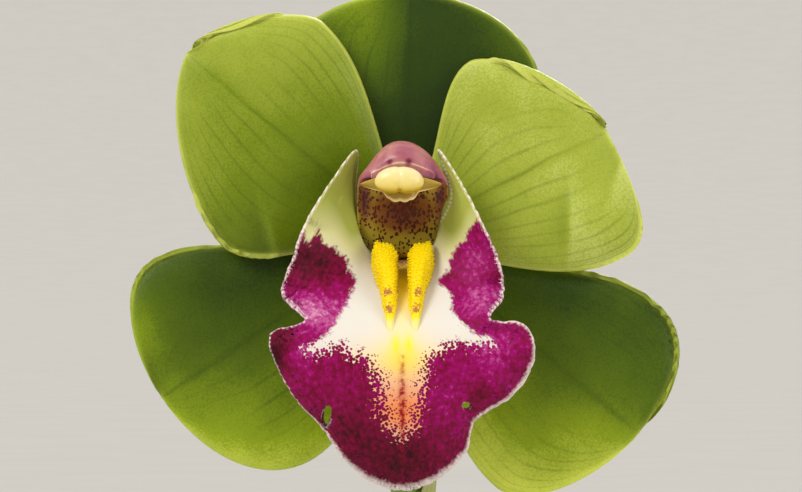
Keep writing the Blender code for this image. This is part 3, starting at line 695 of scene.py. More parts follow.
yellow += 0.35 * spot(x, up, (0.0, -21.0), (9.0, 2.8)) + 1.0 * spot(x, up, (0.0, -8.5), (2.6, 6.0))
peach = 0.95 * spot(x, up, (0.0, -29.5), (11.0, 6.2))
stripe = spot(x, up, (-0.1, -28.0), (0.45, 7.0)) * (up < -20.2) + 0.6 * spot(x, up, (0.0, -4.6), (3.4, 1.6))
# the eyelets where a fold of the margin doesn't quite close: (sideways, up), (half width, half height), lean
EYELETS = (((-12.7, -30.3), (0.8, 1.9), -14), ((10.6, -28.6), (0.85, 0.7), 0))
eyelet_distance = np.full(x.shape, 9.0)
for (ex, ey), (half_width, half_height), lean in EYELETS:
    turned = np.hypot((x - ex) / half_width, (up - ey) / half_height)
    eyelet_distance = np.minimum(eyelet_distance, np.maximum(turned - 1, 0) * min(half_width, half_height))
rim = np.minimum(lip_margin_distance, eyelet_distance + 0.35)
white_rim = 0.22 + 0.75 * spot(x, up, (0.0, -44.0), (15.0, 12.0)) + 0.40 * spot(
    x, up, (19.5, -23.0), (3.0, 8.0)
)
lip_marks = {
    "pigment": pigment,
    "tone": magenta_tone_and_shade,
    "yellow": yellow,
    "peach": peach,
    "stripe": stripe,
    "rim": rim / white_rim,
    # the side lobes' own cream-green tint, and painted shade in the hollow beside the column (the spot at 8.6
    # mm to each side)
    "lobe": np.clip((up + 6.0) / 12.0, 0, 1) + 0.6 * spot(np.abs(x), up, (8.6, 4.0), (2.0, 7.0)),
    "front": np.clip((-17.0 - up) / 2.0, 0, 1) + 0.9 * peach,
}
print("magenta over", round(100 * float((pigment > 0).mean())), "percent of the lip's points")

# %% [markdown]
# ## The lip's tissue
# Under the pigment the lip is white and slightly translucent, greener at the side lobes, with painted shade as
# olive in the hollow beside the column. The magenta is velvety: short hairs and cells break it into fine
# darker and paler strokes. Where it ends on the front lobe it breaks up into dots. The margin has no pigment,
# and shows as a white line.

# %% Lip material
STROKE_WIDTH = 0.45 * MM
DOT_SPACING = 0.46 * MM


def lip_tissue():
    """Velvety lip tissue: white ground, frayed magenta, yellow ridge, dark middle stripe, white margin;
    painted shade in the side lobes' hollow and on parts of the magenta.
    """
    material, add, shader, place = new_material(
        "velvety_lip_tissue",
        {
            "Roughness": 0.5, "IOR": 1.42, "Specular IOR Level": 0.12, "Subsurface Weight": 0.15,
            "Subsurface Scale": 0.8 * MM, "Subsurface Radius": (1.0, 0.7, 0.6), "Sheen Weight": 0.02,
            "Sheen Roughness": 0.5
        }
    )
    mark = {key: add("ShaderNodeAttribute", attribute_name=key).outputs["Fac"] for key in lip_marks}
    growth = add("ShaderNodeUVMap", uv_map="growth").outputs[0]
    # white ground, turning cream-green up the side lobes, olive in the hollow beside the column as painted
    # shade, and yellow down the ridge
    ground = add(
        "ShaderNodeValToRGB", {0: mark["lobe"]}, stops=((0.0, "#cac4ba"), (1.0, "#9aa044"), (0.5, "#c6c28c"))
    )
    warm = add("ShaderNodeMix", {0: mark["yellow"], 6: ground, 7: "#f2d000"}, data_type="RGBA")
    warm = add("ShaderNodeMix", {0: mark["peach"], 6: warm.outputs[2], 7: "#d8783a"}, data_type="RGBA")
    # frayed edge of the magenta
    stretched = add("ShaderNodeMapping", {0: growth, 3: (95.0, 34.0, 1.0)})
    strokes = add("ShaderNodeTexNoise", {"Vector": stretched, "Scale": 0.55, "Detail": 4.0, "Roughness": 0.6})
    mottle = add(
        "ShaderNodeTexNoise",
        {"Vector": place, "Scale": 0.5 / STROKE_WIDTH, "Detail": 4.0, "Roughness": 0.65}
    )
    fray = add("ShaderNodeMath", {0: mottle, 1: strokes}, operation="ADD")
    fray = add("ShaderNodeMath", {0: fray, 1: 2.3, 2: -2.3}, operation="MULTIPLY_ADD")
    dots = add("ShaderNodeTexVoronoi", {"Vector": place, "Scale": 1 / DOT_SPACING, "Randomness": 1.0})
    broken = add("ShaderNodeMath", {0: dots.outputs["Distance"], 1: -4.2, 2: 1.9}, operation="MULTIPLY_ADD")
    broken = add("ShaderNodeMath", {0: broken, 1: mark["front"]}, operation="MULTIPLY")
    edge = add("ShaderNodeMath", {0: mark["pigment"], 1: fray}, operation="ADD")
    edge = add("ShaderNodeMath", {0: edge, 1: broken}, operation="ADD")
    cover = add("ShaderNodeMapRange", {0: edge, 1: -0.15, 2: 0.5})
    shade = add("ShaderNodeMath", {0: mottle, 1: 0.95, 2: -0.475}, operation="MULTIPLY_ADD")
    shade = add("ShaderNodeMath", {0: strokes, 1: 0.5, 2: shade}, operation="MULTIPLY_ADD")
    shade = add("ShaderNodeMath", {0: shade, 1: -0.25}, operation="ADD")
    shade = add("ShaderNodeMath", {0: mark["tone"], 1: shade}, operation="ADD")
    magenta = add(
        "ShaderNodeValToRGB", {0: shade},
        stops=(
            (0.0, "#240008"), (1.0, "#bc7c9a"), (0.22, "#4e0018"), (0.45, "#700032"), (0.66, "#8c005c"),
            (0.84, "#a0447a")
        )
    )
    painted = add("ShaderNodeMix", {0: cover, 6: warm.outputs[2], 7: magenta}, data_type="RGBA")
    streak = add("ShaderNodeMath", {0: mottle, 1: 2.4, 2: -0.75}, operation="MULTIPLY_ADD")
    streak = add("ShaderNodeMath", {0: mark["stripe"], 1: streak}, operation="MULTIPLY")
    streak = add("ShaderNodeMath", {0: streak, 1: 2.4}, operation="MULTIPLY", use_clamp=True)
    painted = add("ShaderNodeMix", {0: streak, 6: painted.outputs[2], 7: "#8a0c16"}, data_type="RGBA")
    ragged = add("ShaderNodeMath", {0: mottle, 1: -1.5, 2: 0.75}, operation="MULTIPLY_ADD")
    ragged = add("ShaderNodeMath", {0: mark["rim"], 1: ragged}, operation="ADD")
    white = add("ShaderNodeMapRange", {0: ragged, 1: 1.45, 2: 0.5, 4: 0.85})
    painted = add("ShaderNodeMix", {0: white, 6: painted.outputs[2], 7: "#dcccc8"}, data_type="RGBA")
    relief = add("ShaderNodeBump", {"Strength": 0.4, "Distance": 0.12 * MM, "Height": mottle})
    gloss = add("ShaderNodeMapRange", {0: mottle, 1: 0.3, 2: 0.7, 3: 0.42, 4: 0.62})
    set_inputs(shader, {"Base Color": painted.outputs[2], "Normal": relief, "Roughness": gloss})
    return material


lip_material = lip_tissue()
opening = np.zeros((lip_shape.shape[0] - 1, lip_shape.shape[1] - 1), bool)
for (ex, ey), (half_width, half_height), lean in EYELETS:
    tilt = math.radians(lean)
    sideways = (lip_shape[..., 0] - ex) * math.cos(tilt) + (lip_shape[..., 1] - ey) * math.sin(tilt)
    upward = (lip_shape[..., 1] - ey) * math.cos(tilt) - (lip_shape[..., 0] - ex) * math.sin(tilt)
    reach = np.hypot(sideways / half_width, upward / half_height)
    middle = (reach[:-1, :-1] + reach[1:, :-1] + reach[:-1, 1:] + reach[1:, 1:]) / 4
    hole = middle < 1
    opening |= hole
    padded = np.pad(hole, 1).astype(int)
    touching = padded[:-1, :-1] + padded[1:, :-1] + padded[:-1, 1:] + padded[1:, 1:]
    edge_points = (touching > 0) & (touching < 4)
    shrink = (1 / np.maximum(reach, 0.2))[edge_points][:, None]
    lip_shape[edge_points, :2] = (ex, ey) + (lip_shape[edge_points, :2] - (ex, ey)) * shrink
lip = sheet_object("lip_blade", in_world(lip_shape), LIP_THICKNESS * MM, lip_material, lip_marks, opening)
whole = bmesh.new()
whole.from_mesh(lip.data)
bmesh.ops.delete(whole, geom=[point for point in whole.verts if not point.link_faces], context="VERTS")
whole.to_mesh(lip.data)
whole.free()
fit_in(lip, "lip")

# %% [markdown]
# ## The two keels
# The keels are fleshy yellow ridges that lead a bee under the column. Each is a tube laid along the lip's
# middle, broad and raised at its inner end, and sunk a little into the lip so that the two read as one piece.

# %% Keels on the lip
# place along the lip, sideways place, half width, height above the lip
KEEL_ROWS = (
    (0.185, 3.2, 1.5, 5.6),
    (0.20, 3.1, 2.0, 6.5),
    (0.23, 3.0, 2.1, 6.3),
    (0.27, 2.9, 1.85, 5.7),
    (0.36, 2.4, 1.3, 4.2),
    (0.46, 2.2, 0.9, 2.4),
    (0.53, 2.1, 0.55, 0.9),
    (0.57, 2.1, 0.3, 0.1),
)


def keel_rings(sign, rows=70, sides=48):
    """Rings of one keel, with a hollow along its top and an outer corner that stands highest."""
    steps = np.linspace(0, 1, rows)
    table = smooth_rows(KEEL_ROWS, steps)
    places = table[:, 0]
    path = [row[0] for row in LIP_ROWS]
    centre = smooth_rows(path, places)
    ways = unit(smooth_rows(path, places + 0.02) - centre)
    rings = []
    for (_, sideways, half_width, height), middle, way, step in zip(table, centre, ways, steps):
        lift = np.array((way[1], -way[0]))
        turn = np.linspace(0, 2 * math.pi, sides, endpoint=False)
        top = np.clip(np.sin(turn), 0, 1)
        horn = 0.5 + 0.5 * np.tanh((np.cos(turn) - 0.45) / 0.22)
        corner = (1.25 * horn - 0.45) * top**0.4 * np.exp(-step * 6)
        bump = 0.10 * np.sin(7 * turn + 9 * step) + 0.07 * np.sin(31 * step + 2 * turn)
        flat = 1 - 0.6 * math.exp(-6 * step)
        section = np.sign(np.sin(turn)) * np.abs(np.sin(turn)) ** flat
        rise = height * 0.5 * (1 + section) - 0.3 + 1.9 * corner * min(1, half_width)
        wide = (half_width + bump * min(1, half_width)) * np.sign(np.cos(turn)) * np.abs(np.cos(turn)) ** 0.75
        ring = np.empty((sides, 3))
        ring[:, 0] = sign * (sideways + wide)
        ring[:, 1] = middle[0] + lift[0] * rise
        ring[:, 2] = middle[1] + lift[1] * rise
        rings.append(ring)
    return np.array(rings)


def keel_tissue():
    """Fleshy yellow ridge tissue with two brown-purple spots, paler where it dies out on the lip."""
    material, add, shader, place = new_material(
        "yellow_keel_tissue",
        {
            "Roughness": 0.48, "IOR": 1.42, "Specular IOR Level": 0.2, "Subsurface Weight": 0.2,
            "Subsurface Scale": 0.8 * MM, "Subsurface Radius": (1.0, 0.8, 0.2)
        }
    )
    fade = add("ShaderNodeAttribute", attribute_name="fade").outputs["Fac"]
    spots = add("ShaderNodeAttribute", attribute_name="spots").outputs["Fac"]
    fine = add("ShaderNodeTexNoise", {"Vector": place, "Scale": 2200.0, "Detail": 3.0})
    ground = add(
        "ShaderNodeValToRGB", {0: fade}, stops=((0.0, "#dfc000"), (1.0, "#ded08a"), (0.6, "#e2cc08"))
    )
    frayed = add("ShaderNodeMath", {0: fine, 1: 2.2, 2: -1.1}, operation="MULTIPLY_ADD")
    frayed = add("ShaderNodeMath", {0: spots, 1: frayed}, operation="ADD")
    cover = add("ShaderNodeMapRange", {0: frayed, 1: 0.45, 2: 0.75, 4: 0.85})
    painted = add("ShaderNodeMix", {0: cover, 6: ground, 7: "#9a4a3c"}, data_type="RGBA")
    relief = add("ShaderNodeBump", {"Strength": 0.5, "Distance": 0.1 * MM, "Height": fine})
    set_inputs(shader, {"Base Color": painted.outputs[2], "Normal": relief})
    return material


keel_material = keel_tissue()
keels = []
for side, sign in (("left", -1), ("right", 1)):
    rings = keel_rings(sign)
    kx, ku = rings[..., 0], rings[..., 1]
    spots = sum(
        spot(kx, ku, (sign * at[0], at[1]), (0.8, at[2])) for at in ((2.5, -9.6, 0.8), (2.2, -12.4, 1.0))
    )
    fade = np.clip((-11.8 - ku) / 3.2, 0, 1)
    marks = {"fade": fade, "spots": spots, "bumpy": np.clip((ku + 13.5) / 2.0, 0, 1)}
    keel = tube_object(f"keel_{side}", in_world(rings), keel_material, marks)
    keels.append(fit_in(keel, "lip"))


# %% [markdown]
# ## Papillae and hairs
# The keels are covered in tiny blunt bumps, and the lower margins of the side lobes carry a fringe of short
# hairs. Both repeat one small shape many times over a surface or along a line, which is what Geometry Nodes
# are for: points are laid on the carrier, the shape is set on each and turned to stand off it.

# %% Trees for bumps and hairs


def node_tree(name, size_label):
    """A tree that takes a size under this label, a spacing, a seed and a material, and what adds its nodes."""
    tree = bpy.data.node_groups.new(name, "GeometryNodeTree")
    kinds = {"Geometry": "Geometry", size_label: "Float", "Spacing": "Float", "Seed": "Int"}
    kinds["Material"] = "Material"
    for label, kind in kinds.items():
        tree.interface.new_socket(label, in_out="INPUT", socket_type=f"NodeSocket{kind}")
    tree.interface.new_socket("Geometry", in_out="OUTPUT", socket_type="NodeSocketGeometry")
    add = functools.partial(add_node, tree)
    return tree, add, add("NodeGroupInput").outputs


def end_tree(add, geometry, start):
    """Gives the made geometry its material and sends it out of the tree."""
    add("NodeGroupOutput", {0: add("GeometryNodeSetMaterial", {0: geometry, "Material": start["Material"]})})


def grow(name, carrier, tree, settings):
    """Runs a tree on a carrier and keeps what it makes as a new plain mesh object."""
    modifier = carrier.modifiers.new(tree.name, "NODES")
    modifier.node_group = tree
    for item in tree.interface.items_tree:
        if item.in_out == "INPUT" and item.name in settings:
            modifier[item.identifier] = settings[item.name]
    graph = bpy.context.evaluated_depsgraph_get()
    mesh = bpy.data.meshes.new_from_object(carrier.evaluated_get(graph))
    carrier.modifiers.remove(modifier)
    return in_scene(name, mesh)


def papilla_tree():
    """Blunt bumps standing off a surface where its attribute bumpy is above a half."""
    tree, add, start = node_tree("papillae", "Radius")
    bumpy = add("GeometryNodeInputNamedAttribute", {"Name": "bumpy"}, data_type="FLOAT")
    chosen = add("FunctionNodeCompare", {0: bumpy, 1: 0.5}, operation="GREATER_THAN")
    points = add(
        "GeometryNodeDistributePointsOnFaces",
        {0: start["Geometry"], 1: chosen, 2: start["Spacing"], 3: 1.2e7, "Seed": start["Seed"]},
        distribute_method="POISSON"
    )
    bump = add("GeometryNodeMeshIcoSphere", {0: start["Radius"], 1: 1})
    size = add(
        "FunctionNodeRandomValue", {0: (0.7, 0.7, 1.0), 1: (1.1, 1.1, 1.6), "Seed": start["Seed"]},
        data_type="FLOAT_VECTOR"
    )
    bumps = add("GeometryNodeInstanceOnPoints", {0: points, 2: bump, 5: points.outputs[2], 6: size})
    real = add("GeometryNodeRealizeInstances", {0: bumps})
    end_tree(add, real, start)
    return tree


def hair_tree():
    """Small cones along a line of edges, each pointing the way its attribute stands gives."""
    tree, add, start = node_tree("marginal_hairs", "Length")
    line = add("GeometryNodeMeshToCurve", {0: start["Geometry"]})
    points = add("GeometryNodeCurveToPoints", {0: line, "Length": start["Spacing"]}, mode="LENGTH")
    stands = add("GeometryNodeInputNamedAttribute", {"Name": "stands"}, data_type="FLOAT_VECTOR")
    lean = add(
        "FunctionNodeRandomValue", {0: (-0.45, -0.45, -0.45), 1: (0.45, 0.45, 0.45), "Seed": start["Seed"]},
        data_type="FLOAT_VECTOR"
    )
    way = add("ShaderNodeVectorMath", {0: stands, 1: lean}, operation="ADD")
    turn = add("FunctionNodeAlignRotationToVector", {"Vector": way}, axis="Z")
    thin = add("ShaderNodeMath", {0: start["Length"], 1: 0.09}, operation="MULTIPLY")
    hair = add(
        "GeometryNodeMeshCone",
        {0: 5, 1: 1, 2: 1, "Radius Top": 0.0, "Radius Bottom": thin, "Depth": start["Length"]}
    )
    size = add("FunctionNodeRandomValue", {2: 0.35, 3: 1.0, "Seed": start["Seed"]}, data_type="FLOAT")
    hairs = add("GeometryNodeInstanceOnPoints", {0: points, 2: hair, 5: turn, 6: size.outputs[1]})
    real = add("GeometryNodeRealizeInstances", {0: hairs})
    end_tree(add, real, start)
    return tree


# %% Grow them
papillae = papilla_tree()
for number, keel in enumerate(keels):
    settings = {"Radius": 0.2 * MM, "Spacing": 0.5 * MM, "Seed": 3 + number, "Material": keel_material}
    bumps = grow(f"{keel.name}_papillae", keel, papillae, settings)
    bumps.data.shade_smooth()
    fit_in(bumps, "lip")

# the hairs are living white to pink tissue, paler on some than on others
hair_material, add, hair_shader, hair_place = new_material("pale_lip_hairs", {"Roughness": 0.5})
hair_cloud = add("ShaderNodeTexNoise", {"Vector": hair_place, "Scale": 420.0, "Detail": 2.0})
hair_paint = add("ShaderNodeValToRGB", {0: hair_cloud}, stops=((0.35, "#efe2e2"), (0.65, "#cf9ab4")))
set_inputs(hair_shader, {"Base Color": hair_paint})
hairs = hair_tree()
HAIR_STRETCHES = ((0.20, 0.345), (0.655, 0.80))
margin, outward_way = margin_of(lip_shape)
for side, (start, end) in zip(("left", "right"), HAIR_STRETCHES):
    chosen = slice(int(start * len(margin)), int(end * len(margin)))
    line = in_world(margin[chosen])
    ways = outward_way[chosen]
    mesh = bpy.data.meshes.new(f"hair_line_{side}")
    mesh.from_pydata(line.tolist(), [(i, i + 1) for i in range(len(line) - 1)], [])
    stands = mesh.attributes.new("stands", "FLOAT_VECTOR", "POINT")
    stands.data.foreach_set("vector", np.stack([ways[:, 0], 0 * ways[:, 0] - 0.3, ways[:, 1]], -1).ravel())
    carrier = in_scene(f"hair_line_{side}", mesh)
    settings = {"Length": 0.9 * MM, "Spacing": 0.45 * MM, "Seed": 11, "Material": hair_material}
    fringe = grow(f"lip_hairs_{side}", carrier, hairs, settings)
    bpy.data.objects.remove(carrier)
    fit_in(fringe, "lip")

# %% [markdown]
# ## The column
# In an orchid the stamens and the pistil are one body, the column. It arches over the lip: a pink hood
# behind, a hollow spotted face in front, and wings along both sides. Its rings are ovals square to its own
# curved middle line, peaked at the back and hollowed at the face.

# %% Column shape
# up, out, half width, height of the back, depth of the face
COLUMN_ROWS = (
    (0.0, 0.3, 3.0, 3.0, 3.0),
    (0.0, 4.4, 5.6, 3.0, 3.4),
    (0.2, 7.4, 7.6, 3.1, 4.0),
    (2.4, 10.8, 7.8, 3.4, 2.6),
    (6.0, 14.3, 7.8, 4.0, 1.6),
    (9.0, 17.0, 7.6, 5.6, 1.4),
    (10.4, 19.0, 6.9, 6.0, 1.6),
    (10.7, 20.3, 6.0, 4.0, 1.4),
    (10.3, 21.2, 5.2, 1.7, 1.2),
)
# where the wings run, as turns round the column, and how far each spreads
WING_TURNS = (1.94 * math.pi, 1.06 * math.pi)
WING_SPREAD = 0.17


def column_rings(rows=80, sides=128):
    """Rings of the column, with its surface numbers: face, wing, back and how near the free end."""
    steps = np.linspace(0, 1, rows)
    table = smooth_rows(COLUMN_ROWS, steps)
    ways = unit(np.gradient(table[:, :2], axis=0))
    turn = np.linspace(0, 2 * math.pi, sides, endpoint=False)
    c, s = np.cos(turn)[None, :], np.sin(turn)[None, :]
    grown = np.clip((steps - 0.2) / 0.25, 0, 1)[:, None]
    peak = 1 + 1.15 * grown
    back = np.clip(s, 0, 1) ** peak
    hollow = np.clip(-s, 0, 1) ** (1 - 0.45 * grown) * (1 - 0.75 * grown * np.exp(-((c / 0.62) ** 2)))
    wing = 0
    for middle in WING_TURNS:
        from_middle = (turn - middle + math.pi) % (2 * math.pi) - math.pi
        wing = wing + np.exp(-((from_middle / WING_SPREAD) ** 2))[None, :]
    half_width, height, depth = (table[:, k][:, None] for k in (2, 3, 4))
    rise = height * back - depth * (hollow + 0.35 * wing * grown)
    rise += 0.10 * np.sin(5 * turn[None, :] + 6 * steps[:, None]) * grown
    wide = half_width * np.sign(c) * np.abs(c) ** (1 - (0.1 + 0.3 * (s < 0)) * grown)
    up = table[:, 0][:, None] + ways[:, 1][:, None] * rise
    out = table[:, 1][:, None] - ways[:, 0][:, None] * rise
    marks = {
        "face": np.clip(-s, 0, 1) * np.clip((8.7 - up) / 0.5, 0, 1),
        "side": np.broadcast_to(np.abs(c), up.shape),
        "hood": back * np.ones_like(up),
        "reach": np.broadcast_to(steps[:, None], up.shape),
    }
    return np.stack([wide, up, out], -1), marks


column_shape, column_marks = column_rings()
print("column is", round(float(np.ptp(column_shape[..., 0])), 1), "mm wide")

# %% [markdown]
# ## The column's skin
# The hood is a dusty pink, purple along its ridge, pale at its lip and darker on its right side, which is
# painted shade. The face is olive-tan with short dark spots that crowd together into maroon at its middle, and
# streaks of maroon follow the wings. The spots are cells of a Voronoi pattern, pulled about by noise so that
# they bend and join as real ones do.

# %% Column material
SPOT_SPACING = 0.80 * MM


def column_skin():
    """Smooth waxy column tissue: pink hood with painted shade on its right side, spotted olive face, yellow
    wings.
    """
    material, add, shader, place = new_material(
        "spotted_column_skin",
        {
            "Roughness": 0.38, "IOR": 1.45, "Subsurface Weight": 0.15, "Subsurface Scale": 0.8 * MM,
            "Subsurface Radius": (1.0, 0.6, 0.4)
        }
    )
    mark = {
        key: add("ShaderNodeAttribute", attribute_name=key).outputs["Fac"]
        for key in ("face", "side", "hood", "reach", "crowd", "hood_tint_and_shade")
    }
    warp = add("ShaderNodeTexNoise", {"Vector": place, "Scale": 900.0, "Detail": 2.0})
    pulled = add(
        "ShaderNodeVectorMath", {0: warp.outputs[1], 1: (0.9 * MM, 0.9 * MM, 0.9 * MM), 2: place},
        operation="MULTIPLY_ADD"
    )
    squeezed = add("ShaderNodeMapping", {0: pulled, 3: (1.45, 1.0, 0.8)})
    cells = add("ShaderNodeTexVoronoi", {"Vector": squeezed, "Scale": 1 / SPOT_SPACING})
    size = add("ShaderNodeMapRange", {0: mark["crowd"], 1: 0.0, 2: 1.0, 3: 0.36, 4: 0.58})
    apart = add("ShaderNodeMath", {0: size, 1: cells.outputs["Distance"]}, operation="SUBTRACT")
    spotted = add("ShaderNodeMapRange", {0: apart, 1: -0.03, 2: 0.07})
    ground = add(
        "ShaderNodeValToRGB", {0: mark["crowd"]},
        stops=((0.0, "#b0a030"), (1.0, "#561410"), (0.45, "#7a4a1a"))
    )
    face = add("ShaderNodeMix", {0: spotted, 6: ground, 7: "#3f0710"}, data_type="RGBA")
    cloud = add("ShaderNodeTexNoise", {"Vector": place, "Scale": 350.0, "Detail": 4.0, "Roughness": 0.6})
    mixed = add("ShaderNodeMath", {0: cloud, 1: 0.8, 2: -0.4}, operation="MULTIPLY_ADD")
    mixed = add("ShaderNodeMath", {0: mark["hood_tint_and_shade"], 1: mixed}, operation="ADD")
    hood = add(
        "ShaderNodeValToRGB", {0: mixed},
        stops=((0.0, "#d8b8a8"), (1.0, "#640836"), (0.25, "#b27c70"), (0.55, "#96505c"))
    )
    is_face = add("ShaderNodeMapRange", {0: mark["face"], 1: 0.02, 2: 0.16})
    skin = add("ShaderNodeMix", {0: is_face, 6: hood, 7: face.outputs[2]}, data_type="RGBA")
    relief = add("ShaderNodeBump", {"Strength": 0.25, "Distance": 0.08 * MM, "Height": cloud})
    set_inputs(shader, {"Base Color": skin.outputs[2], "Normal": relief})
    return material


cx, cu = column_shape[..., 0], column_shape[..., 1]
crowd = spot(cx, cu, (0.0, 4.2), (5.2, 3.6)) + 0.75 * spot(np.abs(cx), cu, (6.6, 6.5), (0.9, 3.2))
# the hood's own tint is purple on its ridge and low sides, pale at the free end, with two dark dots; the spot
# at (5.0, 11.2) is painted shade on its right side
hood_tint_and_shade = 0.42 + 0.30 * spot(cx, cu, (0.3, 13.8), (1.6, 1.2)) + 0.35 * spot(cx, cu, (5.0, 11.2), (1.2, 2.6))
hood_tint_and_shade += 0.5 * spot(np.abs(cx), cu, (5.9, 8.9), (1.2, 1.3))
hood_tint_and_shade -= 0.5 * np.exp(-(((column_marks["reach"] - 0.985) / 0.012) ** 2))
for dot in ((-2.2, 12.3), (1.0, 12.3)):
    hood_tint_and_shade += 0.9 * spot(cx, cu, dot, (0.4, 0.45))
column_material = column_skin()
column = tube_object(
    "column_body", in_world(column_shape), column_material, {**column_marks, "crowd": crowd, "hood_tint_and_shade": hood_tint_and_shade}
)
fit_in(column, "column")

# %% [markdown]
# ## Collar under the anther cap
# Below the cap the column's end spreads into a thin pale yellow collar, with a small scalloped flap that
# hangs in the middle. It is thin and has an outline of its own, so it is a sheet that sits in front.

# %% The collar


def collar_grid(rows=40, columns=121):
    """A crescent between the wing tips, with a scalloped flap in the middle."""
    across = np.linspace(-1, 1, columns)[None, :]
    down = np.linspace(0, 1, rows)[:, None]
    top = 8.6 + 2.0 * (1 - np.abs(across)) ** 0.8
    flap = np.exp(-((across / 0.37) ** 8))
    scallops = 0.28 * np.abs(np.sin(12.5 * across + 0.3)) * flap
    bottom = 8.45 - 1.5 * (1 - np.abs(across) ** 1.7) - 1.15 * flap - scallops
    up = top + (bottom - top) * down
    out = 19.4 + 1.9 * np.sqrt(1 - 0.86 * across**2) - 0.9 * down**2 * (1 - flap) + 0.4 * down * flap
    side = 6.8 * across - 0.3
    return np.stack([side * np.ones_like(up), up, out], -1)


def cap_skin(name, top, middle, low, roughness):
    """Smooth creamy wax that turns more yellow towards its lower edge."""
    material, add, shader, place = new_material(
        name,
        {
            "Roughness": roughness, "IOR": 1.45, "Subsurface Weight": 0.25, "Subsurface Scale": 0.8 * MM,
            "Subsurface Radius": (1.0, 0.8, 0.4)
        }
    )
    fall = add("ShaderNodeAttribute", attribute_name="fall").outputs["Fac"]
    cloud = add("ShaderNodeTexNoise", {"Vector": place, "Scale": 600.0, "Detail": 3.0})
    shifted = add("ShaderNodeMath", {0: cloud, 1: 0.3, 2: -0.15}, operation="MULTIPLY_ADD")
    shifted = add("ShaderNodeMath", {0: shifted, 1: fall}, operation="ADD")
    skin = add("ShaderNodeValToRGB", {0: shifted}, stops=((0.0, top), (1.0, low), (0.5, middle)))
    relief = add("ShaderNodeBump", {"Strength": 0.2, "Distance": 0.05 * MM, "Height": cloud})
    set_inputs(shader, {"Base Color": skin, "Normal": relief})
    return material


collar_shape = collar_grid()
down = np.linspace(0, 1, len(collar_shape))[:, None]
collar_fall = (0.2 + 0.3 * down + 0.5 * np.clip((down - 0.86) / 0.1, 0, 1)) * np.ones(collar_shape.shape[:2])
collar_material = cap_skin("thin_yellow_collar_tissue", "#b09636", "#957618", "#d0b876", 0.42)
collar = sheet_object(
    "column_collar", in_world(collar_shape), 0.4 * MM, collar_material, {"fall": collar_fall}
)
fit_in(collar, "column")

# %% [markdown]
# ## The anther cap
# The cap is a waxy lid over the pollen, two soft cheeks wide, with a groove between them and a little notch
# at its lower edge.

# %% The cap
CAP_MIDDLE = (-0.6, 9.2, 23.1)
CAP_HALF = (4.15, 2.3, 1.95)
CAP_SIDES = 72
cap_turn = np.linspace(0, 2 * math.pi, CAP_SIDES, endpoint=False)
cap_rings, cap_fall = [], []
for place in np.sin(np.linspace(-1, 1, 61) * math.pi / 2 * 0.985):
    size = (1 - abs(place) ** 2.6) ** 0.5
    groove = math.exp(-((place / 0.10) ** 2))
    s, c = np.sin(cap_turn), np.cos(cap_turn)
    shape_up = np.sign(s) * np.abs(s) ** 0.85 * (1 - 0.10 * groove * (s < 0) - 0.05 * groove)
    shape_out = c * (1 - 0.13 * groove * np.clip(c, 0, 1)) * (1 - 0.12 * np.clip(-s, 0, 1))
    ring = np.empty((CAP_SIDES, 3))
    ring[:, 0] = CAP_MIDDLE[0] + CAP_HALF[0] * place
    ring[:, 1] = CAP_MIDDLE[1] + CAP_HALF[1] * size * shape_up - 0.35 * place**2
    ring[:, 2] = CAP_MIDDLE[2] + CAP_HALF[2] * size * shape_out
    cap_rings.append(ring)
    notch = math.exp(-((place / 0.06) ** 2)) * np.exp(-(((s + 0.80) / 0.10) ** 2)) * (c > 0)
    cap_fall.append(0.27 - 0.32 * s + 0.62 * np.clip(-s, 0, 1) ** 3 + 0.9 * notch)
cap_material = cap_skin("creamy_anther_wax", "#d6c896", "#d0b94c", "#a88600", 0.33)
cap = tube_object("anther_cap_lid", in_world(cap_rings), cap_material, {"fall": np.array(cap_fall)})
fit_in(cap, "anther_cap")

# %% [markdown]
# ## Stalk, spike and bracts
# The bloom hangs on a short stalk: the pedicel, which swells into the ovary behind the petals. The spike is
# the tall stem that carries it, with a dry papery bract round each joint. All are green stem tissue with
# fine grooves along them, so they share one material that follows the way they grow.

# %% Stem material


def stem_skin(name, low, high, streak, roughness=0.45):
    """Smooth stem skin with fine lengthwise grooves and a colour that drifts along it."""
    material, add, shader, place = new_material(name, {"Roughness": roughness})
    growth = add("ShaderNodeUVMap", uv_map="growth").outputs[0]
    drift = add("ShaderNodeTexNoise", {"Vector": place, "Scale": 35.0, "Detail": 3.0})
    ground = add("ShaderNodeValToRGB", {0: drift}, stops=((0.35, low), (0.68, high)))
    long_way = add("ShaderNodeMapping", {0: growth, 3: (38.0, 3.0, 1.0)})
    grooves = add("ShaderNodeTexNoise", {"Vector": long_way, "Scale": 1.0, "Detail": 4.0})
    lines = add("ShaderNodeValToRGB", {0: grooves}, stops=((0.5, 0.0), (0.72, 0.6)))
    skin = add("ShaderNodeMix", {0: lines, 6: ground, 7: streak}, data_type="RGBA")
    relief = add("ShaderNodeBump", {"Strength": 0.35, "Distance": 0.15 * MM, "Height": grooves})
    set_inputs(shader, {"Base Color": skin.outputs[2], "Normal": relief})
    return material


stem_material = stem_skin("smooth_stem_skin", "#5f7d22", "#8aa23c", "#42601a")
bract_material = stem_skin("papery_bract_skin", "#8a9250", "#b3a874", "#7a6a3e", roughness=0.6)

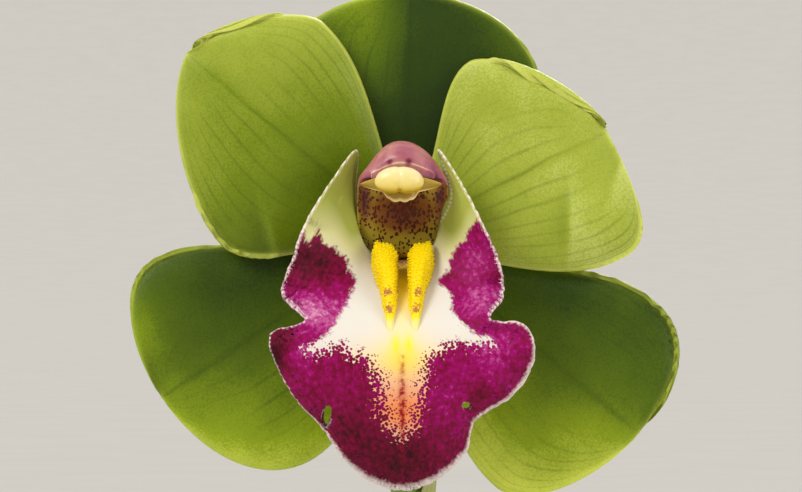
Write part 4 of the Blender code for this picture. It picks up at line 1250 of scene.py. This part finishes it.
# %% Stalk behind the bloom
SPIKE_BEHIND_BLOOM = 36 * MM
SPIKE_TIP_RADIUS = 3.0 * MM
GAP = 0.3 * MM
PEDICEL_RADIUS = 2.1 * MM
DROP = 12.0
back = (SPIKE_BEHIND_BLOOM - SPIKE_TIP_RADIUS - 4 * GAP) / MM
stalk_rows = [(0, 0, 0), (0, -0.38, -4)]
stalk_rows += [(0, -down * DROP, -along * back) for down, along in ((0.35, 0.45), (0.75, 0.78), (1, 1))]
stalk_steps = np.linspace(0, 1, 90)
stalk_path = in_world(smooth_rows(stalk_rows, stalk_steps))
stalk_radii = PEDICEL_RADIUS + (OVARY_RADIUS - PEDICEL_RADIUS) * (1 - stalk_steps) ** 0.7
stalk_radii *= np.sqrt(1 - np.clip((0.03 - stalk_steps) / 0.03, 0, 0.9) ** 2)
stalk_rings = rings_along(stalk_path, stalk_radii, 60)
ribs = 1 - 0.05 * np.abs(np.sin(1.5 * np.linspace(0, 2 * math.pi, 60, endpoint=False)))[None, :, None]
stalk_rings = stalk_path[:, None] + (stalk_rings - stalk_path[:, None]) * ribs
stalk = tube_object("ovary_stalk", stalk_rings, stem_material)
fit_in(stalk, "ovary_and_pedicel")

# %% Spike
bulb_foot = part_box("pseudobulb_1")[0].z
SPIKE_FOOT = (7 * MM, -33 * MM)
SPIKE_RADIUS = 4.2 * MM


def spike_path(rows):
    """Middle line of the spike, from its socket in the bark to its tip behind the bloom."""
    foot_x, foot_y = SPIKE_FOOT
    top_y = BLOOM_Y + SPIKE_BEHIND_BLOOM
    top = BLOOM_Z - DROP * MM
    marks = [
        (foot_x, foot_y, bulb_foot),
        (foot_x, foot_y - 1 * MM, bulb_foot + 0.22 * (top - bulb_foot)),
        (foot_x * 0.7, foot_y + (top_y - foot_y) * 0.55, bulb_foot + 0.50 * (top - bulb_foot)),
        (foot_x * 0.3, foot_y + (top_y - foot_y) * 0.85, bulb_foot + 0.76 * (top - bulb_foot)),
        (0.0, top_y, top),
        (0.0, top_y, top + 12 * MM),
    ]
    fine = smooth_rows(marks, np.linspace(0, 1, 401))
    run = run_along(fine)
    even = np.linspace(0, run[-1], rows)
    return np.stack([np.interp(even, run, fine[:, k]) for k in range(3)], axis=1)


def spike_radius(share):
    return SPIKE_RADIUS + (SPIKE_TIP_RADIUS - SPIKE_RADIUS) * share


BRACT_SHARES = (0.07, 0.30, 0.54, 0.78)
spike_line = spike_path(320)
spike_shares = np.linspace(0, 1, 320)
spike_radii = spike_radius(spike_shares) * np.minimum(
    1, 0.15 + np.sqrt(np.clip(20 * (1 - spike_shares), 0, 1))
)
for share in BRACT_SHARES:
    spike_radii += 0.22 * MM * np.exp(-(((spike_shares - share - 0.012) / 0.008) ** 2))
spike = tube_object("spike_stem", rings_along(spike_line, spike_radii, 48), stem_material)
fit_in(spike, "flower_spike")

# %% Bracts round the joints
BRACT_WAYS = (200, 20, 190, 30)
BRACT_THICKNESS = 0.6 * MM
spike_length = np.linalg.norm(np.diff(spike_line, axis=0), axis=1).sum()
for number, (share, way) in enumerate(zip(BRACT_SHARES, BRACT_WAYS), 1):
    length = 42 * MM * (1.1 - 0.4 * share)
    t = np.linspace(0, 1, 70)[:, None]
    at = share + t[:, 0] * length / spike_length
    place = np.stack([np.interp(at, spike_shares, spike_line[:, k]) for k in range(3)], -1)
    spread = 2.3 * (1 - t**1.7) + 0.06
    across = np.linspace(-1, 1, 61)[None, :]
    angles = math.radians(way) + spread * across
    radius = spike_radius(at)[:, None] + 2 * GAP + BRACT_THICKNESS / 2 + 3.5 * MM * t**3
    radius = radius + 0.12 * MM * np.sin(26 * across) * t
    grid = place[:, None] + radius[..., None] * np.stack([np.cos(angles), np.sin(angles), 0 * angles], -1)
    bract = sheet_object(f"bract_{number}", grid, BRACT_THICKNESS, bract_material, {"tone": 0 * angles + t})
    fit_in(bract, f"spike_bract_{number}")

# %% [markdown]
# ## Pseudobulbs
# A boat orchid stores water in plump bulbs that sit half in the bark. Their skin has long ribs, and shrinks
# to a neck at the top, where the leaves come out. Each bulb's place and size come from its own measured box.

# %% Bulbs


def bulb_outline(share):
    """A bulb's radius against its widest, from its foot (0) to its top (1)."""
    return np.sin(np.pi * (0.08 + 0.86 * share) ** 0.7) ** 0.75


bulb_material = stem_skin("ribbed_bulb_skin", "#6c7a2c", "#94984a", "#4d5c1e", roughness=0.38)
BULB_COUNT = 4
bulbs = []
for number in range(1, BULB_COUNT + 1):
    low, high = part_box(f"pseudobulb_{number}")
    widest = max(bulb_outline(share) for share in np.linspace(0, 1, 11))
    radius = (high.x - low.x) / 2 / widest
    x, y, height = (low.x + high.x) / 2, (low.y + high.y) / 2, high.z - low.z
    bulbs.append((x, y, radius, height))
    shares = np.linspace(0, 1, 90)
    path = np.column_stack([np.full(90, x), np.full(90, y), low.z + shares * height])
    rings = rings_along(path, radius * bulb_outline(shares), 120)
    turn = np.linspace(0, 2 * math.pi, 120, endpoint=False)
    rib = 0.018 * np.cos(13 * turn + number)[None, :] * np.sin(np.pi * shares)[:, None]
    rib += 0.010 * np.cos(31 * turn + 2 * number)[None, :] * np.sin(np.pi * shares)[:, None]
    rings = path[:, None] + (rings - path[:, None]) * (0.985 + rib - 0.01)[..., None]
    bulb = tube_object(f"bulb_{number}", rings, bulb_material)
    fit_in(bulb, f"pseudobulb_{number}")
print("bulbs:", [[round(v / MM, 1) for v in bulb] for bulb in bulbs])

# %% [markdown]
# ## Strap leaves
# The leaves are long leathery straps, folded along the midrib and ribbed with parallel veins. Each wraps its
# bulb as a sheath at its foot, then leaves it and arches over. One table gives each leaf's way, length and
# lean, as a gardener would describe it.

# %% Leaf material
LEAF_VEINS = 15


def leaf_skin():
    """Leathery leaf blade: glossy, with parallel veins and a pale midrib."""
    material, add, shader, place = new_material(
        "leathery_leaf_blade", {"Roughness": 0.36, "Coat Weight": 0.12, "Coat Roughness": 0.25}
    )
    growth = add("ShaderNodeUVMap", uv_map="growth").outputs[0]
    split = add("ShaderNodeSeparateXYZ", {0: growth})
    tone = add("ShaderNodeAttribute", attribute_name="tone").outputs["Fac"]
    cloud = add("ShaderNodeTexNoise", {"Vector": place, "Scale": 45.0, "Detail": 4.0})
    shifted = add("ShaderNodeMath", {0: cloud, 1: 0.35, 2: -0.17}, operation="MULTIPLY_ADD")
    shifted = add("ShaderNodeMath", {0: tone, 1: shifted}, operation="ADD")
    blade = add(
        "ShaderNodeValToRGB", {0: shifted},
        stops=((0.0, "#20400f"), (1.0, "#a79a55"), (0.4, "#35601a"), (0.75, "#6d8a2e"))
    )
    turns = add("ShaderNodeMath", {0: split, 1: LEAF_VEINS * 2 * math.pi}, operation="MULTIPLY")
    wave = add("ShaderNodeMath", {0: turns}, operation="SINE")
    vein = add("ShaderNodeMapRange", {0: wave, 1: 0.3, 2: 1.0, 4: 0.28})
    veined = add("ShaderNodeMix", {0: vein, 6: blade, 7: "#7f9a45"}, data_type="RGBA")
    fine = add("ShaderNodeTexNoise", {"Vector": place, "Scale": 900.0, "Detail": 2.0})
    height = add("ShaderNodeMath", {0: fine, 1: 0.4, 2: wave}, operation="MULTIPLY_ADD")
    relief = add("ShaderNodeBump", {"Strength": 0.3, "Distance": 0.12 * MM, "Height": height})
    gloss = add("ShaderNodeMapRange", {0: cloud, 1: 0.3, 2: 0.7, 3: 0.30, 4: 0.46})
    set_inputs(shader, {"Base Color": veined.outputs[2], "Normal": relief, "Roughness": gloss})
    return material


leaf_material = leaf_skin()

# %% Build the leaves
# bulb, way it arches in degrees, layer (0 inside), length, half width, lean at the foot and at the tip
LEAVES = (
    (0, -32, 1, 205 * MM, 12.0 * MM, 20, 112),
    (0, 148, 0, 185 * MM, 11.5 * MM, -1, -38),
    (0, -22, 0, 200 * MM, 11.0 * MM, 8, 72),
    (1, 205, 1, 210 * MM, 12.0 * MM, 20, 116),
    (1, 25, 0, 175 * MM, 11.0 * MM, -1, -34),
    (1, 196, 0, 200 * MM, 11.5 * MM, 8, 74),
    (2, 62, 1, 185 * MM, 11.5 * MM, 18, 108),
    (2, 242, 0, 165 * MM, 10.5 * MM, 0, -30),
    (2, 72, 0, 180 * MM, 10.5 * MM, 7, 66),
    (3, 150, 0, 165 * MM, 10.0 * MM, 14, 100),
)
LEAF_THICKNESS = 0.9 * MM
SHEATH_ROWS = 5
LEAF_ROWS = 17
SOCKET_DEPTH = 5 * MM
SHEATH_FOOT = 9 * MM
FOLD_ANGLE = 24


def leaf_rows(leaf):
    """One row per place along the leaf: middle, inward way, curl radius, fold and half width."""
    bulb, way, layer, length, half_width, lean, tip_lean = leaf
    x, y, radius, height = bulbs[bulb]
    outward_way = np.array((*way_of(way), 0.0))
    upward = np.array((0.0, 0.0, 1.0))
    foot = np.array((x, y, bulb_foot))
    off = 2.6 * GAP + LEAF_THICKNESS * 0.5 + layer * (LEAF_THICKNESS + 2 * GAP)
    leaves_at = 0.60 if layer else 0.76
    starts_at = (SOCKET_DEPTH + SHEATH_FOOT * (1 - 0.4 * layer)) / height
    rows = []
    for i in range(LEAF_ROWS):
        if i < SHEATH_ROWS:
            share = starts_at + (leaves_at - starts_at) * i / (SHEATH_ROWS - 1)
            distance = radius * float(bulb_outline(share)) + off
            place = foot + distance * outward_way + share * height * upward
            inward, curl, fold = -outward_way, distance, 0.0
            sheath_width = width = min(1.15 * distance, half_width * 1.25)
        else:
            t = (i - SHEATH_ROWS + 1) / (LEAF_ROWS - SHEATH_ROWS)
            angle = math.radians(lean + (tip_lean - lean) * t**1.4)
            step = length / (LEAF_ROWS - SHEATH_ROWS)
            place = place + step * (math.sin(angle) * outward_way + math.cos(angle) * upward)
            inward = math.sin(angle) * upward - math.cos(angle) * outward_way
            curl = distance * (1 + 40 * t**1.3)
            fold = math.tan(math.radians(FOLD_ANGLE)) * min(t / 0.3, 1.0) * (1 - 0.5 * t)
            swell = min(t / 0.35, 1.0)
            taper = 1 - max(0.0, (t - 0.45) / 0.55) ** 2.2
            width = (sheath_width * 0.8 * (1 - swell) + half_width * swell) * taper + 0.8 * MM
        rows.append((*place, *inward, math.log(curl), fold, width))
    return rows, outward_way


for number, leaf in enumerate(LEAVES, 1):
    table, outward_way = leaf_rows(leaf)
    side = np.array((-outward_way[1], outward_way[0], 0.0))
    steps = np.linspace(0, 1, 190)
    fine = smooth_rows(table, steps)
    across = np.linspace(-1, 1, 49)
    reach = across[None, :] * fine[:, 8][:, None]
    curl, fold = np.exp(fine[:, 6])[:, None], np.clip(fine[:, 7], 0, 1)[:, None]
    rise = curl * (1 - np.cos(reach / curl)) + (np.sqrt(reach**2 + (1.2 * MM) ** 2) - 1.2 * MM) * fold
    rise = rise + 0.10 * MM * np.cos(np.pi * 6 * across)[None, :] * np.clip(steps * 3, 0, 1)[:, None]
    wave = 0.5 * MM * np.sin(26 * steps + number)[:, None] * np.abs(across[None, :]) ** 3
    rise = rise + wave * np.clip((steps - 0.35) * 3, 0, 1)[:, None]
    shift = curl * np.sin(reach / curl)
    grid = fine[:, None, :3] + shift[..., None] * side + rise[..., None] * unit(fine[:, 3:6])[:, None]
    tip = np.clip((steps - 0.93) / 0.07, 0, 1)[:, None]
    sheath = np.clip((0.28 - steps) / 0.2, 0, 1)[:, None]
    midrib = np.exp(-((across / 0.05) ** 2))[None, :]
    tone = 0.30 + 0.05 * math.sin(2.4 * number) + 0.7 * tip + 0.45 * sheath + 0.22 * midrib
    made = sheet_object(
        f"strap_leaf_{number}", grid, LEAF_THICKNESS, leaf_material, {"tone": tone + 0 * reach}
    )
    fit_in(made, f"leaf_{number}")

# %% [markdown]
# ## Bark mix
# Boat orchids are potted in chips of bark. A lumpy bed fills the pot, and loose chips lie on it. The chips
# repeat one rough block, so Geometry Nodes scatter it: points on the bed, a chip on each, turned and sized
# at random from a fixed seed. Each chip also gets its own shade, kept as an attribute for the material.

# %% Bark bed
POT_HEIGHT = 115 * MM
POT_BASE_RADIUS = 43 * MM
POT_TOP_RADIUS = 58 * MM
POT_WALL = 5 * MM
POT_FLOOR = 7 * MM
BARK_LEVEL = POT_HEIGHT - 17 * MM
BARK_LUMP = 1.6 * MM


def pot_inner_radius(height):
    """Radius of the pot's hollow at a height."""
    return POT_BASE_RADIUS + (POT_TOP_RADIUS - POT_BASE_RADIUS) * height / POT_HEIGHT - POT_WALL


def bark_material_of(name):
    """Composted pine bark: matt, fibrous, from dark brown to red-brown."""
    material, add, shader, place = new_material(name, {"Roughness": 0.85})
    shade = add("ShaderNodeAttribute", attribute_name="chip_shade").outputs["Fac"]
    fibres = add("ShaderNodeMapping", {0: place, 3: (1.0, 0.25, 1.6)})
    grain = add("ShaderNodeTexNoise", {"Vector": fibres, "Scale": 700.0, "Detail": 5.0, "Roughness": 0.65})
    mixed = add("ShaderNodeMath", {0: grain, 1: 0.9, 2: -0.45}, operation="MULTIPLY_ADD")
    mixed = add("ShaderNodeMath", {0: mixed, 1: shade}, operation="ADD")
    skin = add(
        "ShaderNodeValToRGB", {0: mixed},
        stops=((0.0, "#24150d"), (1.0, "#a9825c"), (0.35, "#4e2f1b"), (0.7, "#7d5333"))
    )
    relief = add("ShaderNodeBump", {"Strength": 0.7, "Distance": 0.4 * MM, "Height": grain})
    set_inputs(shader, {"Base Color": skin, "Normal": relief})
    return material


bark_material = bark_material_of("pine_bark_chips")
BED_SIDES = 96
BED_SHADE = 0.12
bed_turn = np.linspace(0, 2 * math.pi, BED_SIDES, endpoint=False)
bed_rings = []
for level, lift in ((POT_FLOOR, GAP), (BARK_LEVEL, 0)):
    height = level + lift
    reach = pot_inner_radius(level) - 3 * GAP
    bed_rings.append(
        np.stack([reach * np.cos(bed_turn), reach * np.sin(bed_turn), np.full(BED_SIDES, height)], -1)
    )
for share in np.linspace(0.92, 0.04, 24):
    x = share * pot_inner_radius(BARK_LEVEL) * np.cos(bed_turn)
    y = share * pot_inner_radius(BARK_LEVEL) * np.sin(bed_turn)
    lump = np.sin(x * 410 + 1.3) * np.cos(y * 370 - 0.4) + 0.5 * np.sin((x - y) * 760)
    bed_rings.append(np.stack([x, y, BARK_LEVEL - 1.2 * MM + BARK_LUMP * lump / 1.5], -1))
bed_shade = np.full((len(bed_rings), BED_SIDES), BED_SHADE)
bed = tube_object("bark_bed", np.array(bed_rings), bark_material, {"chip_shade": bed_shade})

# %% Scatter the chips


def chip_tree():
    """Chips on the upward faces: spaced points, a rough block on each, turned, sized and shaded at random."""
    tree, add, start = node_tree("scattered_chips", "Chip length")
    normal = add("GeometryNodeInputNormal")
    facing = add("ShaderNodeSeparateXYZ", {0: normal})
    upward = add("FunctionNodeCompare", {0: facing.outputs[2], 1: 0.6}, operation="GREATER_THAN")
    # whole faces are chosen, or the tall side faces would count by their upper corners
    on_top = add("GeometryNodeFieldOnDomain", {0: upward}, domain="FACE", data_type="BOOLEAN")
    points = add(
        "GeometryNodeDistributePointsOnFaces",
        {0: start["Geometry"], 1: on_top, 2: start["Spacing"], 3: 90000.0, "Seed": start["Seed"]},
        distribute_method="POISSON"
    )
    sides = add("ShaderNodeCombineXYZ", {0: 1.0, 1: 0.62, 2: 0.34})
    block = add("GeometryNodeMeshCube", {0: sides, 1: 4, 2: 3, 3: 2})
    turn = add(
        "FunctionNodeRandomValue", {0: (-0.45, -0.45, 0.0), 1: (0.45, 0.45, 6.283), "Seed": start["Seed"]},
        data_type="FLOAT_VECTOR"
    )
    size = add(
        "FunctionNodeRandomValue", {0: (0.55, 0.55, 0.6), 1: (1.1, 1.05, 1.2), "Seed": start["Seed"]},
        data_type="FLOAT_VECTOR"
    )
    scale = add("ShaderNodeVectorMath", {0: size, "Scale": start["Chip length"]}, operation="SCALE")
    chips = add("GeometryNodeInstanceOnPoints", {0: points, 2: block, 5: turn, 6: scale})
    shade = add("FunctionNodeRandomValue", {2: 0.05, 3: 0.85, "Seed": start["Seed"]}, data_type="FLOAT")
    kept = add(
        "GeometryNodeStoreNamedAttribute", {0: chips, "Name": "chip_shade", 3: shade.outputs[1]},
        domain="INSTANCE", data_type="FLOAT"
    )
    real = add("GeometryNodeRealizeInstances", {0: kept})
    rough = add("ShaderNodeTexNoise", {"Scale": 260.0, "Detail": 3.0})
    centred = add("ShaderNodeVectorMath", {0: rough.outputs[1], 1: (-0.5, -0.5, -0.5)}, operation="ADD")
    pushed = add("ShaderNodeVectorMath", {0: centred, "Scale": 4.5 * MM}, operation="SCALE")
    moved = add("GeometryNodeSetPosition", {0: real, "Offset": pushed})
    end_tree(add, moved, start)
    return tree


chips = grow(
    "bark_chips", bed, chip_tree(),
    {"Chip length": 11 * MM, "Spacing": 4.2 * MM, "Seed": 4, "Material": bark_material}
)
fit_in(bed, "bark_mix")
fit_in(chips, "bark_mix")

# %% [markdown]
# ## The clay pot
# A plain thrown clay pot: a tapering body, a thick collar and four drain holes. Its outline is drawn once
# and turned round the middle line, as on a wheel. The turning leaves faint rings, and watering leaves pale
# lime on the porous clay, darker and damper low down.

# %% Pot material and body
COLLAR_HEIGHT = 24 * MM
COLLAR_STEP = 4 * MM
POT_EDGE = 1.5 * MM
DRAIN_RADIUS = 5 * MM
DRAIN_CIRCLE = 21 * MM
DRAIN_COUNT = 4
TURN_STEPS = 160


def fired_clay():
    """Unglazed fired clay: matt and porous, with throwing rings, mottling and lime bloom."""
    material, add, shader, place = new_material("unglazed_fired_clay", {"Roughness": 0.88})
    height = add("ShaderNodeSeparateXYZ", {0: place}).outputs[2]
    mottle = add("ShaderNodeTexNoise", {"Vector": place, "Scale": 60.0, "Detail": 6.0, "Roughness": 0.62})
    clay = add("ShaderNodeValToRGB", {0: mottle}, stops=((0.3, "#a75a3a"), (0.72, "#c97e58")))
    grit = add("ShaderNodeTexNoise", {"Vector": place, "Scale": 1500.0, "Detail": 2.0})
    patches = add("ShaderNodeTexNoise", {"Vector": place, "Scale": 28.0, "Detail": 7.0, "Roughness": 0.7})
    lime = add("ShaderNodeMapRange", {0: patches, 1: 0.52, 2: 0.72, 4: 0.55})
    limed = add("ShaderNodeMix", {0: lime, 6: clay, 7: "#d9bfa6"}, data_type="RGBA")
    damp = add("ShaderNodeMapRange", {0: height, 1: 0.0, 2: 45 * MM, 3: 0.45, 4: 0.0})
    low = add("ShaderNodeMix", {0: damp, 6: limed.outputs[2], 7: "#7c4029"}, data_type="RGBA")
    ringed = add("ShaderNodeMath", {0: height, 1: 2 * math.pi / (2.4 * MM)}, operation="MULTIPLY")
    rings = add("ShaderNodeMath", {0: ringed}, operation="SINE")
    surface = add("ShaderNodeMath", {0: rings, 1: 0.3, 2: grit}, operation="MULTIPLY_ADD")
    relief = add("ShaderNodeBump", {"Strength": 0.5, "Distance": 0.25 * MM, "Height": surface})
    set_inputs(shader, {"Base Color": low.outputs[2], "Normal": relief})
    return material


def rounded(profile, radius, steps=6):
    """The profile with each corner cut by a small curve."""
    profile = np.array(profile, float)
    made = [profile[0]]
    for before, corner, after in zip(profile, profile[1:], profile[2:]):
        reach = [min(radius, 0.45 * np.linalg.norm(end - corner)) for end in (before, after)]
        start = corner + unit(before - corner) * reach[0]
        finish = corner + unit(after - corner) * reach[1]
        for t in np.linspace(0, 1, steps):
            made.append((1 - t) ** 2 * start + 2 * t * (1 - t) * corner + t * t * finish)
    return made + [profile[-1]]


collar_foot = POT_HEIGHT - COLLAR_HEIGHT
at_collar = pot_inner_radius(collar_foot) + POT_WALL
pot_profile = [
    (0, 0),
    (POT_BASE_RADIUS, 0),
    (at_collar, collar_foot),
    (at_collar + COLLAR_STEP, collar_foot + 0.5 * POT_EDGE),
    (POT_TOP_RADIUS + COLLAR_STEP, POT_HEIGHT),
    (POT_TOP_RADIUS - POT_WALL, POT_HEIGHT),
    (pot_inner_radius(POT_FLOOR), POT_FLOOR),
    (0, POT_FLOOR),
]
pot_points = [(r, 0, z) for r, z in rounded(pot_profile, 2.2 * MM)]
pot_mesh = bpy.data.meshes.new("pot_outline")
pot_mesh.from_pydata(pot_points, [(i, i + 1) for i in range(len(pot_points) - 1)], [])
pot = in_scene("clay_pot", pot_mesh)
pot_mesh.materials.append(fired_clay())
wheel = pot.modifiers.new("Turned", "SCREW")
wheel.steps = wheel.render_steps = TURN_STEPS
wheel.use_merge_vertices = True
wheel.merge_threshold = 0.01 * MM
wheel.use_normal_calculate = True
cutters = []
for k in range(DRAIN_COUNT):
    angle = 2 * math.pi * (k + 0.5) / DRAIN_COUNT
    x, y = DRAIN_CIRCLE * math.cos(angle), DRAIN_CIRCLE * math.sin(angle)
    points, faces = tube(rings_along([(x, y, -POT_FLOOR), (x, y, 2 * POT_FLOOR)], [DRAIN_RADIUS] * 2, 48))
    cutter_mesh = bpy.data.meshes.new(f"drain_cutter_{k + 1}")
    cutter_mesh.from_pydata(points.tolist(), [], faces)
    cutter = face_outwards(in_scene(f"drain_cutter_{k + 1}", cutter_mesh))
    cutters.append(cutter)
    drain = pot.modifiers.new(cutter.name, "BOOLEAN")
    drain.operation = "DIFFERENCE"
    drain.solver = "EXACT"
    drain.object = cutter
bpy.context.view_layer.update()
turned = bpy.data.meshes.new_from_object(pot.evaluated_get(bpy.context.evaluated_depsgraph_get()))
pot.modifiers.clear()
pot.data = turned
for cutter in cutters:
    bpy.data.objects.remove(cutter)
turned.shade_smooth()
face_outwards(pot)
fit_in(pot, "pot")

# %% [markdown]
# ## Floor and light
# The plant stands on a plain pale floor that runs far out, under a pale sky of nearly the same tone, so no
# hard line crosses the view. Two large soft lamps shape the bloom: one high on the left, and a weaker one
# on the right. A third lights the tepals from behind, as the light through thin petals does.

# %% Floor, world and lamps
FLOOR_FLAT = 20.0
FLOOR_REACH = 60.0
FLOOR_RISE = 16.0
FLOOR_SIDES = 96
floor_material, add, floor_shader, floor_place = new_material("pale_matt_paint", {"Roughness": 0.9})
floor_mottle = add("ShaderNodeTexNoise", {"Vector": floor_place, "Scale": 6.0, "Detail": 2.0})
floor_tone = add("ShaderNodeValToRGB", {0: floor_mottle}, stops=((0.3, "#d2d0cc"), (0.7, "#d5d3cf")))
set_inputs(floor_shader, {"Base Color": floor_tone})
floor_turn = np.linspace(0, 2 * math.pi, FLOOR_SIDES, endpoint=False)
floor_points, floor_faces = [(0.0, 0.0, 0.0)], []
floor_radii = [FLOOR_FLAT * 0.5, FLOOR_FLAT] + list(np.linspace(FLOOR_FLAT, FLOOR_REACH, 17)[1:])
for number, radius in enumerate(floor_radii):
    climb = FLOOR_RISE * (max(0.0, radius - FLOOR_FLAT) / (FLOOR_REACH - FLOOR_FLAT)) ** 3
    first = 1 + FLOOR_SIDES * number
    floor_points += [(radius * math.cos(a), radius * math.sin(a), climb) for a in floor_turn]
    for k in range(FLOOR_SIDES):
        after = (k + 1) % FLOOR_SIDES
        if number:
            floor_faces.append(
                (first - FLOOR_SIDES + k, first + k, first + after, first - FLOOR_SIDES + after)
            )
        else:
            floor_faces.append((0, first + k, first + after))
floor_mesh = bpy.data.meshes.new("pale_floor")
floor_mesh.from_pydata(floor_points, [], floor_faces)
floor_mesh.shade_smooth()
floor_mesh.materials.append(floor_material)
floor = in_scene("pale_floor", floor_mesh)

world = bpy.data.worlds.new("pale_sky")
world.use_nodes = True
# the sky is as dim as the floor where they meet, and brighter overhead
add = functools.partial(add_node, world.node_tree)
sky_way = add("ShaderNodeTexCoord").outputs["Generated"]
climb = add("ShaderNodeSeparateXYZ", {0: sky_way}).outputs[2]
sky = add("ShaderNodeValToRGB", {0: climb}, stops=((0.25, "#c2bfb9"), (0.65, "#f6f3ee")))
set_inputs(world.node_tree.nodes["Background"], {"Color": sky, "Strength": 1.15})
bpy.context.scene.world = world


def soft_lamp(name, place, aim, side, watts):
    """A square area lamp at a place, turned to face a point."""
    data = bpy.data.lights.new(name, "AREA")
    data.size = side
    data.energy = watts
    lamp = in_scene(name, data)
    place, aim = np.array(place), np.array(aim)
    away = unit(place - aim)
    right = unit(np.cross((0, 0, 1.0), away))
    up = np.cross(away, right)
    rows = [[right[k], up[k], away[k], place[k]] for k in range(3)] + [[0, 0, 0, 1]]
    lamp.matrix_world = [[row[i] for row in rows] for i in range(4)]
    return lamp


bloom_centre = (0.0, BLOOM_Y, BLOOM_Z)
soft_lamp("key_lamp", (-0.75, BLOOM_Y - 0.75, BLOOM_Z + 0.75), bloom_centre, 0.45, 12.5)
soft_lamp("fill_lamp", (0.9, BLOOM_Y - 0.6, BLOOM_Z + 0.15), bloom_centre, 0.6, 5)
soft_lamp("back_lamp", (0.35, BLOOM_Y + 0.8, BLOOM_Z + 0.6), bloom_centre, 0.5, 8)
# the plain view transform keeps the magenta and the yellow as saturated as their pigments
bpy.context.scene.view_settings.view_transform = "Standard"
